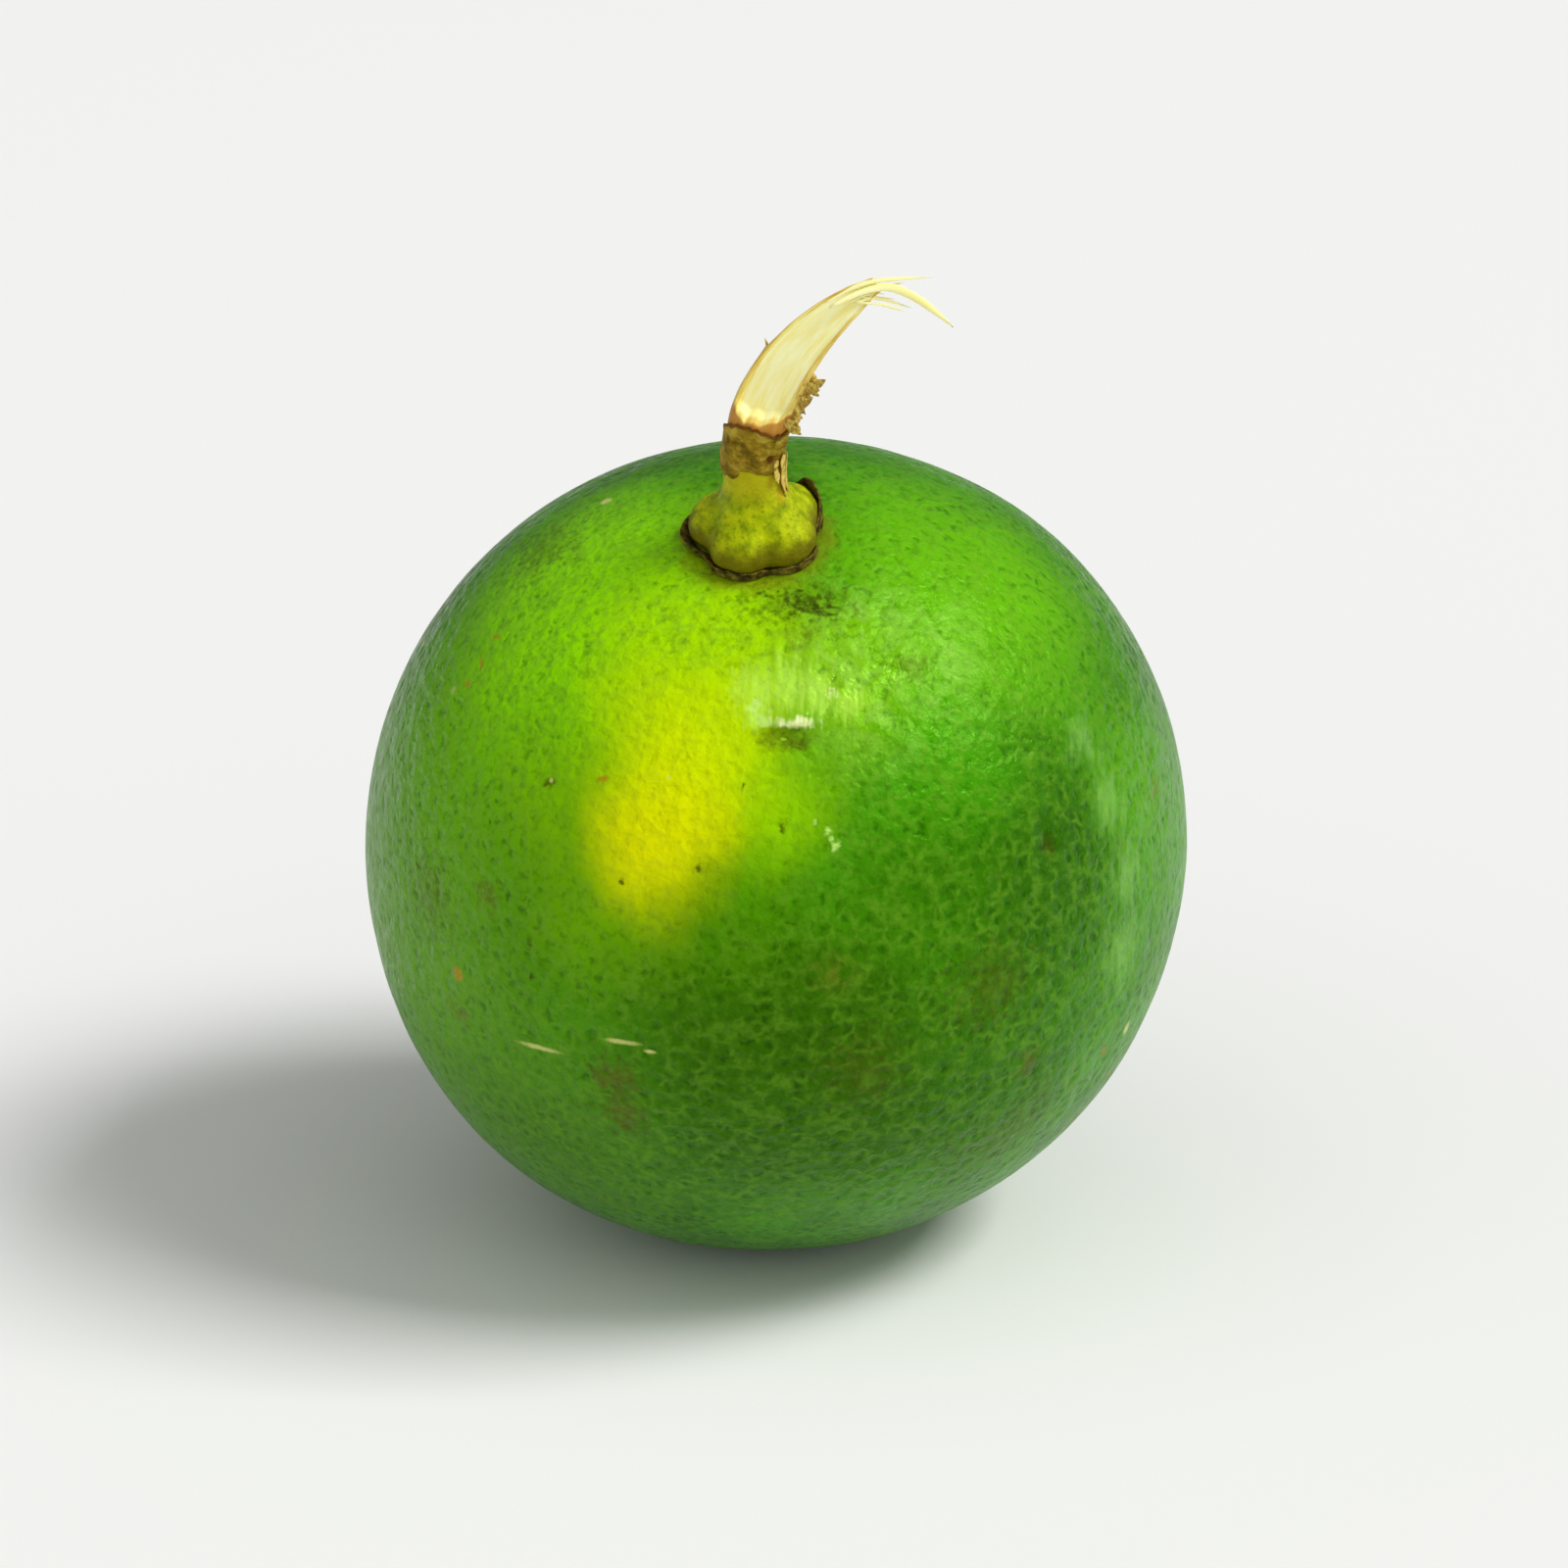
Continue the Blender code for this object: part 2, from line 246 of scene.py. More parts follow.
skinMarks = {  # places are (right, up, radius, stretch to the right)
    "oliveStainAndCalyxShade": {
        "colour": "#464a0c", "strength": 0.45, "soft": 1.2, "frayed": 5.0,
        "places": [
            # the first place, beside the calyx, is painted shadow of the calyx; the rest are real stains
            (1.4, 13.5, 1.2, 1.6), (-12.9, 16.2, 1.6, 1.0), (11.8, -7.9, 1.6, 1.0),
            (4.8, -12.7, 1.5, 1.0), (-8.8, -14.2, 1.2, 0.8), (7.6, 9.8, 0.5, 2.0),
            (12.7, -16.3, 1.8, 2.0), (-19.0, -3.0, 1.4, 0.7),
        ],
    },
    "rustSpot": {
        "colour": "#a8860f", "strength": 0.85, "soft": 0.5, "frayed": 1.5,
        "places": [
            (-9.6, 3.5, 0.28, 1.0), (-17.6, -7.2, 0.42, 0.7), (-16.2, 9.8, 0.3, 1.0),
            (-17.0, 8.6, 0.25, 1.0), (-15.4, 11.2, 0.22, 1.0), (18.1, -11.6, 0.35, 0.6),
            (18.4, -12.8, 0.3, 0.6),
        ],
    },
    "darkSpot": {
        "colour": "#332c06", "strength": 0.8, "soft": 0.7, "frayed": 1.4,
        "places": [
            (-12.7, 3.2, 0.3, 1.2), (-4.4, -1.4, 0.16, 1.0), (-8.6, -2.3, 0.15, 1.0),
            (0.3, 0.8, 0.16, 1.0), (-13.7, -5.5, 0.2, 1.0), (-13.5, -7.4, 0.16, 1.0),
            (15.1, -0.2, 0.5, 0.7), (2.2, 13.2, 0.3, 1.4), (0.9, 13.9, 0.22, 1.0),
            (-2.0, 3.1, 0.12, 1.0),
        ],
    },
    "brownStain": {
        "colour": "#5e4e1c", "strength": 0.5, "soft": 1.0, "frayed": 4.0,
        "places": [
            (-8.9, -12.9, 0.8, 1.2), (-8.4, -15.0, 0.9, 0.9), (-16.0, -3.0, 0.6, 1.0),
            (-17.4, -9.4, 0.6, 1.0), (13.9, -12.2, 0.6, 1.0),
        ],
    },
    # painted reflection: a pale grey-green band down the right rim, where the pale surroundings reflect
    "paintedRimReflection": {
        "colour": "#8cc45c", "strength": 0.38, "soft": 1.2, "frayed": 3.6, "upright": True,
        "places": [
            (17.0, 5.6, 1.0, 0.8), (18.4, 2.4, 1.1, 0.7), (19.3, -1.6, 1.3, 0.6), (19.2, -6.0, 1.4, 0.7),
        ],
    },
    # painted shade: a dark olive blob in the crease under the lip
    "paintedCreaseShade": {
        "colour": "#46460a", "strength": 0.8, "soft": 0.8, "frayed": 1.6,
        "places": [(0.5, 5.85, 0.62, 1.9), (1.0, 5.35, 0.3, 1.8)],
    },
    # painted shadow: dark streaks on the skin beside the calyx, where it shades the peel
    "paintedCalyxShadow": {
        "colour": "#2c3006", "strength": 0.8, "soft": 0.8, "frayed": 4.0,
        "places": [
            (1.8, 13.3, 0.62, 1.6), (0.8, 14.1, 0.36, 1.8), (2.9, 12.7, 0.3, 1.5),
            (-0.6, 13.9, 0.3, 1.4),
        ],
    },
    # painted highlight: pale patches round the lip where the highlight breaks up, laid as rubbed wax
    "paintedWaxSheen": {
        "colour": "#bcec54", "strength": 0.55, "soft": 1.0, "frayed": 3.2, "upright": True,
        "places": [
            (-1.0, 8.7, 1.0, 0.9), (0.7, 8.7, 1.2, 1.1), (2.4, 8.3, 1.0, 0.9), (-1.2, 7.3, 0.6, 1.0),
            (4.0, 7.8, 0.7, 1.4),
        ],
    },
    # painted highlight: near-white glints along the lip and beside it
    "paintedLipGlint": {
        "colour": "#f6fcb8", "strength": 0.9, "soft": 0.8, "frayed": 2.6, "upright": True,
        "places": [(1.1, 6.6, 0.26, 3.6), (3.2, 8.4, 0.22, 1.4)],
    },
    # painted highlight: pale glint specks by the small dent and on the lip's left
    "paintedGlintFlecks": {
        "colour": "#c4ee74", "strength": 0.75, "soft": 0.8, "frayed": 3.4,
        "places": [
            (2.9, 0.6, 0.24, 0.7), (3.2, -0.2, 0.26, 0.6), (2.2, 1.1, 0.16, 1.2), (-0.8, 6.8, 0.3, 1.3),
            (-1.3, 7.6, 0.34, 0.8),
        ],
    },
    "paleScratch": {
        "colour": "#cfd07a", "strength": 0.8, "soft": 0.6, "frayed": 1.4, "level": True,
        "places": [
            (-13.1, -11.35, 0.13, 9.0), (-8.6, -11.05, 0.13, 6.5), (-7.0, -11.6, 0.1, 3.0),
            (-9.5, 18.9, 0.2, 1.6), (-17.7, 8.3, 0.26, 1.0), (-19.4, 10.9, 0.3, 0.8),
            (-12.5, 3.4, 0.12, 1.0), (-6.0, 3.6, 0.1, 1.0), (19.3, -10.3, 0.4, 0.7),
        ],
    },
}
glossyPlaces = [  # (right, up, radius)
    (0.8, 6.7, 1.5), (-1.0, 8.2, 0.9), (2.9, 0.5, 0.6), (3.4, 8.6, 1.1), (6.2, 9.4, 0.8),
]
skinEnds = [  # (end, inner reach, outer reach, colour, strength): browned round the calyx, the flower's scar
    (1.0, 3.5, 4.7, "#7c7410", 0.55),
    (-1.0, 0.7, 1.5, "#6a5a2c", 0.85),
]


def layMarks(tree, place, colour, marks, speckle, ticks):
    # lays one kind of mark over a colour: the nearest mark decides, measured in its own radii
    nearest = None
    for right, up, radius, stretch in marks["places"]:
        spot = onFront(right, up)
        # a level stroke keeps its length where the skin turns away
        deep = 1 / stretch if marks.get("level") else 1.0
        scale = np.array((1 / stretch, deep, 1.0)) / radius
        apart = addNode(
            tree, "ShaderNodeVectorMath", {"operation": "MULTIPLY_ADD", 1: scale, 2: -spot * scale},
            {0: place}
        )
        length = addNode(tree, "ShaderNodeVectorMath", {"operation": "LENGTH"}, {0: apart.outputs[0]})
        length = length.outputs["Value"]
        if nearest is None:
            nearest = length
        else:
            nearest = addNode(
                tree, "ShaderNodeMath", {"operation": "MINIMUM"}, {0: nearest, 1: length}
            ).outputs[0]
    frayed = addNode(
        tree, "ShaderNodeMath", {"operation": "MULTIPLY_ADD", 1: marks["frayed"]},
        {0: ticks if marks.get("upright") else speckle, 2: nearest},
    )
    middle = 1 + 0.5 * marks["frayed"]
    soft = marks["soft"]
    mask = addNode(
        tree, "ShaderNodeMapRange",
        {"interpolation_type": "SMOOTHSTEP", "From Min": middle + soft, "From Max": middle - soft,
         "To Max": marks["strength"]},
        {"Value": frayed.outputs[0]},
    )
    mixed = addNode(
        tree, "ShaderNodeMix", {"data_type": "RGBA", 7: hexColour(marks["colour"])},
        {0: mask.outputs[0], 6: colour},
    )
    return mixed.outputs[2]


def waxyLimeRind():
    # living citrus peel under its own wax: deep green with oil glands, hazy gloss, yellow where it ripens
    material = bpy.data.materials.new("waxyLimeRind")
    material.use_nodes = True
    tree = material.node_tree
    tree.nodes.clear()
    coords = addNode(tree, "ShaderNodeTexCoord")
    place = addNode(  # mm from the middle of the fruit, so noise scales below are lumps per mm
        tree, "ShaderNodeMapping", {"Location": tuple(-fruitMiddle), "Scale": (1 / mm,) * 3},
        {"Vector": coords.outputs["Object"]},
    ).outputs[0]
    wander = addNode(
        tree, "ShaderNodeTexNoise", {"normalize": False, "Scale": 0.14, "Detail": 2.0}, {"Vector": place}
    )
    wandered = addNode(
        tree, "ShaderNodeVectorMath", {"operation": "MULTIPLY_ADD", 1: (1.5, 1.5, 1.5)},
        {0: wander.outputs["Color"], 2: place},
    ).outputs[0]
    jitter = addNode(
        tree, "ShaderNodeTexNoise", {"normalize": False, "Scale": 1.6, "Detail": 2.0}, {"Vector": place}
    )
    jittered = addNode(
        tree, "ShaderNodeVectorMath", {"operation": "MULTIPLY_ADD", 1: (0.3, 0.3, 0.3)},
        {0: jitter.outputs["Color"], 2: place},
    ).outputs[0]

    # base greens, in soft clouds
    clouds = addNode(
        tree, "ShaderNodeTexNoise", {"Scale": 0.13, "Detail": 4.0, "Roughness": 0.6}, {"Vector": place}
    )
    greens = addNode(tree, "ShaderNodeValToRGB", links={"Fac": clouds.outputs["Fac"]})
    ramp = greens.color_ramp
    ramp.elements[0].position = 0.32
    ramp.elements[0].color = hexColour("#2f6a06")
    ramp.elements[1].position = 0.68
    ramp.elements[1].color = hexColour("#46900c")
    colour = greens.outputs["Color"]
    for right, up, inner, outer, tint, strength in skinTints:
        apart = addNode(
            tree, "ShaderNodeVectorMath", {"operation": "DISTANCE", 1: tuple(onFront(right, up))},
            {0: wandered}
        )
        mask = addNode(
            tree, "ShaderNodeMapRange",
            {"interpolation_type": "SMOOTHSTEP", "From Min": outer, "From Max": inner, "To Max": strength},
            {"Value": apart.outputs["Value"]},
        )
        colour = addNode(
            tree, "ShaderNodeMix", {"data_type": "RGBA", 7: hexColour(tint)}, {0: mask.outputs[0], 6: colour}
        ).outputs[2]

    # oil glands 0.8 mm apart, as on a real lime: darker dots, and a paler broken net of tissue between them
    density = 1 / limeFruit["glandSpacing"]
    glands = addNode(
        tree, "ShaderNodeTexVoronoi",
        {"feature": "SMOOTH_F1", "Scale": density, "Smoothness": 0.3, "Randomness": 1.0},
        {"Vector": jittered},
    )
    dots = addNode(
        tree, "ShaderNodeMapRange",
        {"interpolation_type": "SMOOTHSTEP", "From Min": 0.38, "From Max": 0.06, "To Max": 1.0},
        {"Value": glands.outputs["Distance"]},
    ).outputs[0]
    calmer = addNode(
        tree, "ShaderNodeVectorMath", {"operation": "MULTIPLY_ADD", 1: (0.16, 0.16, 0.16)},
        {0: jitter.outputs["Color"], 2: place},
    ).outputs[0]
    edges = addNode(
        tree, "ShaderNodeTexVoronoi", {"feature": "DISTANCE_TO_EDGE", "Scale": density, "Randomness": 0.9},
        {"Vector": calmer},
    )
    net = addNode(
        tree, "ShaderNodeMapRange",
        {"interpolation_type": "SMOOTHSTEP", "From Min": 0.3, "From Max": 0.0, "To Max": 0.42},
        {"Value": edges.outputs["Distance"]},
    ).outputs[0]
    patchy = addNode(
        tree, "ShaderNodeTexNoise", {"Scale": 0.22, "Detail": 2.0}, {"Vector": place}
    ).outputs["Fac"]
    broken = addNode(
        tree, "ShaderNodeTexNoise", {"Scale": 1.1, "Detail": 3.0, "Roughness": 0.6}, {"Vector": place}
    )
    brokenShare = addNode(
        tree, "ShaderNodeMapRange", {"interpolation_type": "SMOOTHSTEP", "From Min": 0.36, "From Max": 0.66},
        {"Value": broken.outputs["Fac"]},
    ).outputs[0]
    ripeAt = addNode(
        tree, "ShaderNodeVectorMath", {"operation": "DISTANCE", 1: tuple(onFront(-5.4, 3.0))}, {0: wandered}
    )
    unripe = addNode(  # where it ripens the glands hardly show
        tree, "ShaderNodeMapRange",
        {"interpolation_type": "SMOOTHSTEP", "From Min": 4.5, "From Max": 9.5, "To Min": 0.35},
        {"Value": ripeAt.outputs["Value"]},
    ).outputs[0]
    shown = addNode(tree, "ShaderNodeMath", {"operation": "MULTIPLY"}, {0: patchy, 1: unripe}).outputs[0]
    dotShare = addNode(tree, "ShaderNodeMath", {"operation": "MULTIPLY"}, {0: dots, 1: shown}).outputs[0]
    darker = addNode(
        tree, "ShaderNodeMix", {"data_type": "RGBA", "blend_type": "MULTIPLY", 7: hexColour("#7a9a50")},
        {0: dotShare, 6: colour},
    ).outputs[2]
    netHere = addNode(
        tree, "ShaderNodeMath", {"operation": "MULTIPLY"}, {0: brokenShare, 1: unripe}
    ).outputs[0]
    netShare = addNode(tree, "ShaderNodeMath", {"operation": "MULTIPLY"}, {0: net, 1: netHere}).outputs[0]
    colour = addNode(
        tree, "ShaderNodeMix", {"data_type": "RGBA", 7: hexColour("#6a9c22")}, {0: netShare, 6: darker}
    ).outputs[2]
    # painted highlight: a pale yellow-green patch in swirls, laid round where the key light's broad highlight
    # falls
    paintedHighlightAt = addNode(
        tree, "ShaderNodeVectorMath", {"operation": "DISTANCE", 1: tuple(onFront(6.6, 10.3))}, {0: wandered}
    )
    paintedHighlight = addNode(
        tree, "ShaderNodeMapRange",
        {"interpolation_type": "SMOOTHSTEP", "From Min": 7.6, "From Max": 2.0, "To Max": 0.36},
        {"Value": paintedHighlightAt.outputs["Value"]},
    ).outputs[0]
    swirl = addNode(
        tree, "ShaderNodeTexNoise", {"Scale": 0.5, "Detail": 4.0, "Roughness": 0.6, "Distortion": 1.2},
        {"Vector": place},
    )
    swirlShare = addNode(
        tree, "ShaderNodeMapRange", {"interpolation_type": "SMOOTHSTEP", "From Min": 0.38, "From Max": 0.68},
        {"Value": swirl.outputs["Fac"]},
    ).outputs[0]
    paintedHighlightShare = addNode(
        tree, "ShaderNodeMath", {"operation": "MULTIPLY"}, {0: paintedHighlight, 1: swirlShare}
    ).outputs[0]
    colour = addNode(
        tree, "ShaderNodeMix", {"data_type": "RGBA", 7: hexColour("#a4d85c")}, {0: paintedHighlightShare, 6: colour}
    ).outputs[2]
    # flecks about 0.4 mm wide; the peel's own cells are far finer, drawn coarser so that they show
    fleck = addNode(
        tree, "ShaderNodeTexNoise", {"Scale": 2.4, "Detail": 3.0, "Roughness": 0.6}, {"Vector": place}
    )
    flecked = addNode(tree, "ShaderNodeMath", {"operation": "MULTIPLY", 1: 0.36}, {0: unripe}).outputs[0]
    fleckShare = addNode(
        tree, "ShaderNodeMapRange", {"interpolation_type": "SMOOTHSTEP", "From Min": 0.54, "From Max": 0.3},
        {"Value": fleck.outputs["Fac"], "To Max": flecked},
    ).outputs[0]
    colour = addNode(
        tree, "ShaderNodeMix", {"data_type": "RGBA", "blend_type": "MULTIPLY", 7: hexColour("#86a060")},
        {0: fleckShare, 6: colour},
    ).outputs[2]

    # freckles up to 0.4 mm wide every 3 mm or so, and faint russet scars up to 4 mm wide every 7 mm
    freckleCells = addNode(
        tree, "ShaderNodeTexVoronoi", {"feature": "F1", "Scale": 0.32, "Randomness": 1.0},
        {"Vector": jittered}
    )
    freckleSize = addNode(
        tree, "ShaderNodeSeparateColor", links={"Color": freckleCells.outputs["Color"]}
    )
    freckle = addNode(
        tree, "ShaderNodeMath", {"operation": "MULTIPLY_ADD", 1: 0.13, 2: -0.06}, {0: freckleSize.outputs[0]}
    ).outputs[0]
    freckle = addNode(tree, "ShaderNodeMath", {"operation": "MAXIMUM", 1: 0.001}, {0: freckle}).outputs[0]
    freckleMask = addNode(
        tree, "ShaderNodeMapRange", {"interpolation_type": "SMOOTHSTEP", "From Max": 0.0, "To Max": 0.75},
        {"Value": freckleCells.outputs["Distance"], "From Min": freckle},
    ).outputs[0]
    colour = addNode(
        tree, "ShaderNodeMix", {"data_type": "RGBA", 7: hexColour("#3a3a06")}, {0: freckleMask, 6: colour}
    ).outputs[2]
    scarCells = addNode(
        tree, "ShaderNodeTexVoronoi", {"feature": "F1", "Scale": 0.14, "Randomness": 1.0},
        {"Vector": jittered}
    )
    scarSize = addNode(tree, "ShaderNodeSeparateColor", links={"Color": scarCells.outputs["Color"]})
    scarReach = addNode(
        tree, "ShaderNodeMath", {"operation": "MULTIPLY_ADD", 1: 0.55, 2: -0.27}, {0: scarSize.outputs[1]}
    )
    scarEdge = addNode(tree, "ShaderNodeMath", {"operation": "MAXIMUM", 1: 0.001}, {0: scarReach.outputs[0]})
    scarMask = addNode(
        tree, "ShaderNodeMapRange", {"interpolation_type": "SMOOTHSTEP", "From Max": 0.0, "To Max": 0.7},
        {"Value": scarCells.outputs["Distance"], "From Min": scarEdge.outputs[0]},
    )
    scarShare = addNode(
        tree, "ShaderNodeMath", {"operation": "MULTIPLY"}, {0: scarMask.outputs[0], 1: brokenShare}
    )
    colour = addNode(
        tree, "ShaderNodeMix", {"data_type": "RGBA", 7: hexColour("#6a6a1c")},
        {0: scarShare.outputs[0], 6: colour}
    ).outputs[2]
    for end, inner, outer, tint, strength in skinEnds:
        spot = fruitTurn @ np.array((0.0, 0.0, end * skinAt((0, 0, end))))
        apart = addNode(
            tree, "ShaderNodeVectorMath", {"operation": "DISTANCE", 1: tuple(spot)}, {0: jittered}
        )
        frayed = addNode(
            tree, "ShaderNodeMath", {"operation": "MULTIPLY_ADD", 1: 1.6, 2: -0.8}, {0: broken.outputs["Fac"]}
        )
        reach = addNode(
            tree, "ShaderNodeMath", {"operation": "ADD"}, {0: apart.outputs["Value"], 1: frayed.outputs[0]}
        )
        mask = addNode(
            tree, "ShaderNodeMapRange",
            {"interpolation_type": "SMOOTHSTEP", "From Min": outer, "From Max": inner, "To Max": strength},
            {"Value": reach.outputs[0]},
        )
        colour = addNode(
            tree, "ShaderNodeMix", {"data_type": "RGBA", 7: hexColour(tint)}, {0: mask.outputs[0], 6: colour}
        ).outputs[2]
    upright = addNode(tree, "ShaderNodeMapping", {"Scale": (1.0, 0.16, 0.16)}, {"Vector": place})
    ticks = addNode(
        tree, "ShaderNodeTexNoise", {"Scale": 3.6, "Detail": 2.0}, {"Vector": upright.outputs[0]}
    ).outputs["Fac"]
    for marks in skinMarks.values():
        colour = layMarks(
            tree, place if marks.get("level") else jittered, colour, marks, fleck.outputs["Fac"], ticks
        )

    # relief: glands sink, the net between them stands up, and a grain of 0.35 mm lumps lies over all of it
    grain = addNode(tree, "ShaderNodeTexNoise", {"Scale": 2.8, "Detail": 3.0}, {"Vector": place})
    relief = addNode(
        tree, "ShaderNodeMath", {"operation": "MULTIPLY_ADD", 1: 0.45},
        {0: grain.outputs["Fac"], 2: glands.outputs["Distance"]}
    )
    bump = addNode(
        tree, "ShaderNodeBump", {"Strength": 1.0, "Distance": 0.11 * mm}, {"Height": relief.outputs[0]}
    )
    wax = addNode(
        tree, "ShaderNodeMapRange", {"From Min": 0.35, "From Max": 0.65, "To Min": 0.27, "To Max": 0.42},
        {"Value": broken.outputs["Fac"]},
    )
    wet = None
    for right, up, radius in glossyPlaces:
        apart = addNode(
            tree, "ShaderNodeVectorMath", {"operation": "DISTANCE", 1: tuple(onFront(right, up))},
            {0: jittered}
        )
        mask = addNode(
            tree, "ShaderNodeMapRange",
            {"interpolation_type": "SMOOTHSTEP", "From Min": 1.5 * radius, "From Max": 0.6 * radius},
            {"Value": apart.outputs["Value"]},
        )
        if wet is None:
            wet = mask.outputs[0]
        else:
            wet = addNode(
                tree, "ShaderNodeMath", {"operation": "MAXIMUM"}, {0: wet, 1: mask.outputs[0]}
            ).outputs[0]
    polish = addNode(
        tree, "ShaderNodeMix", {"data_type": "FLOAT", 3: 0.12}, {0: wet, 2: wax.outputs[0]}
    )
    shader = addNode(
        tree, "ShaderNodeBsdfPrincipled",
        {"IOR": 1.32, "Specular Tint": hexColour("#a8ff20"), "Subsurface Weight": 0.06,
         "Subsurface Radius": (0.4, 1.0, 0.1), "Subsurface Scale": 0.001},
        {"Base Color": colour, "Roughness": polish.outputs[0], "Normal": bump.outputs[0]},
    )
    addNode(tree, "ShaderNodeOutputMaterial", links={"Surface": shader.outputs[0]})
    return material


def moundOn(places, right, up, wide, tall, height, turn=0.0):
    # a smooth mound or hollow on the skin, by mm from the front, wide and tall in mm, turned in degrees
    middle = onFront(right, up)
    outwards = middle / np.linalg.norm(middle)
    side = viewRight - outwards * (viewRight @ outwards)
    side = side / np.linalg.norm(side)
    rise = np.cross(outwards, side)
    twist = math.radians(turn)
    across = (places - middle) @ (side * math.cos(twist) + rise * math.sin(twist))
    upwards = (places - middle) @ (rise * math.cos(twist) - side * math.sin(twist))
    facing = (places @ outwards) > 0
    return height * np.exp(-((across / wide) ** 2) - ((upwards / tall) ** 2)) * facing


skinDents = [  # (right, up, wide, tall, height, turn): a lip, creases, ridges and gouges
    (0.9, 6.75, 1.2, 0.36, 0.22, 0), (0.6, 5.9, 1.3, 0.42, -0.34, 0), (-0.3, 6.2, 0.5, 0.5, 0.08, 0),
    (15.0, 0.0, 0.35, 0.6, -0.16, 20), (7.0, 5.6, 2.0, 0.35, 0.06, -12), (9.2, 4.4, 1.6, 0.3, 0.05, -20),
    (2.9, 0.5, 0.3, 0.35, 0.08, 0), (3.3, -0.1, 0.25, 0.25, 0.06, 0), (1.7, 13.3, 1.5, 0.5, -0.1, 8),
    (17.9, -12.0, 0.6, 2.0, -0.14, 30), (-12.7, 3.2, 0.35, 0.35, -0.08, 0),
    (-5.0, -17.0, 2.5, 0.5, -0.05, 10),
]


def growSkin(material):
    # a cube of equal cells, blown up to the fruit's own shape
    shape = bmesh.new()
    bmesh.ops.create_cube(shape, size=2.0)
    bmesh.ops.subdivide_edges(
        shape, edges=shape.edges[:], cuts=limeFruit["cellsPerSide"] - 1, use_grid_fill=True
    )
    skin = finishPiece("limeSkin", shape, material)
    count = len(skin.data.vertices)
    cube = np.empty(count * 3)
    skin.data.vertices.foreach_get("co", cube)
    directions = np.tan(cube.reshape(-1, 3) * math.pi / 4)
    directions = directions / np.linalg.norm(directions, axis=1)[:, None]
    directions = directions @ np.array(Euler((-tilt, 0.0, 0.0)).to_matrix()).T  # one face looks at the camera
    radius = skinRadius(directions @ fruitTurn)
    half = limeFruit["width"] / 2
    sway = [ruffle(*(d * half), limeFruit["swaySize"]) for d in directions]
    ripple = [ruffle(*(d * half), limeFruit["rippleSize"], 3.0) for d in directions]
    radius = radius + limeFruit["sway"] * np.array(sway) + limeFruit["ripple"] * np.array(ripple)
    places = directions * half
    for dent in skinDents:
        radius = radius + moundOn(places, *dent)
    points = fruitMiddle + directions * radius[:, None]
    points[:, 2] = np.maximum(points[:, 2], 0.0)  # the small flat it rests on
    skin.data.vertices.foreach_set("co", (points * mm).ravel())
    skin.data.update()
    return skin


def sinkGlands(skin):
    # every oil gland a shallow pit, in the same cells as the rind's colour, then made part of the mesh
    tree = bpy.data.node_groups.new("sinkGlands", "GeometryNodeTree")
    tree.interface.new_socket("Geometry", in_out="INPUT", socket_type="NodeSocketGeometry")
    tree.interface.new_socket("Geometry", in_out="OUTPUT", socket_type="NodeSocketGeometry")
    start = addNode(tree, "NodeGroupInput")
    position = addNode(tree, "GeometryNodeInputPosition")
    place = addNode(
        tree, "ShaderNodeVectorMath",
        {"operation": "MULTIPLY_ADD", 1: (1 / mm,) * 3, 2: tuple(-fruitMiddle)}, {0: position.outputs[0]},
    ).outputs[0]
    jitter = addNode(
        tree, "ShaderNodeTexNoise", {"normalize": False, "Scale": 1.6, "Detail": 2.0}, {"Vector": place}
    )
    jittered = addNode(
        tree, "ShaderNodeVectorMath", {"operation": "MULTIPLY_ADD", 1: (0.3, 0.3, 0.3)},
        {0: jitter.outputs["Color"], 2: place},
    ).outputs[0]
    glands = addNode(
        tree, "ShaderNodeTexVoronoi",
        {
            "feature": "SMOOTH_F1", "Scale": 1 / limeFruit["glandSpacing"], "Smoothness": 0.3,
            "Randomness": 1.0,
        },
        {"Vector": jittered},
    )
    depth = addNode(
        tree, "ShaderNodeMapRange",
        {
            "interpolation_type": "SMOOTHSTEP", "From Min": 0.5, "From Max": 0.1,
            "To Max": -limeFruit["glandDepth"] * mm,
        },
        {"Value": glands.outputs["Distance"]},
    )
    normal = addNode(tree, "GeometryNodeInputNormal")
    sink = addNode(
        tree, "ShaderNodeVectorMath", {"operation": "SCALE"}, {0: normal.outputs[0], 3: depth.outputs[0]}
    )
    moved = addNode(
        tree, "GeometryNodeSetPosition", links={"Geometry": start.outputs[0], "Offset": sink.outputs[0]}
    )
    addNode(tree, "NodeGroupOutput", links={0: moved.outputs[0]})
    modifier = skin.modifiers.new("sinkGlands", "NODES")
    modifier.node_group = tree
    evaluated = skin.evaluated_get(bpy.context.evaluated_depsgraph_get())
    mesh = bpy.data.meshes.new_from_object(evaluated)
    skin.modifiers.clear()
    skin.data = mesh
    mesh.name = skin.name


# the stem's curve, as in the CAD
stemCurve = {
    "neckLength": 4.4,
    "tip": (6.8, 2.4, 9.9),  # from the top of the neck
    "rise": 5.0,
    "reach": (3.7, 0.6, 2.0),
    "tornFace": (0.0, -0.73, 0.69),  # the side that the wood is split open on
}
neckTop = seatHeight + stemCurve["neckLength"]


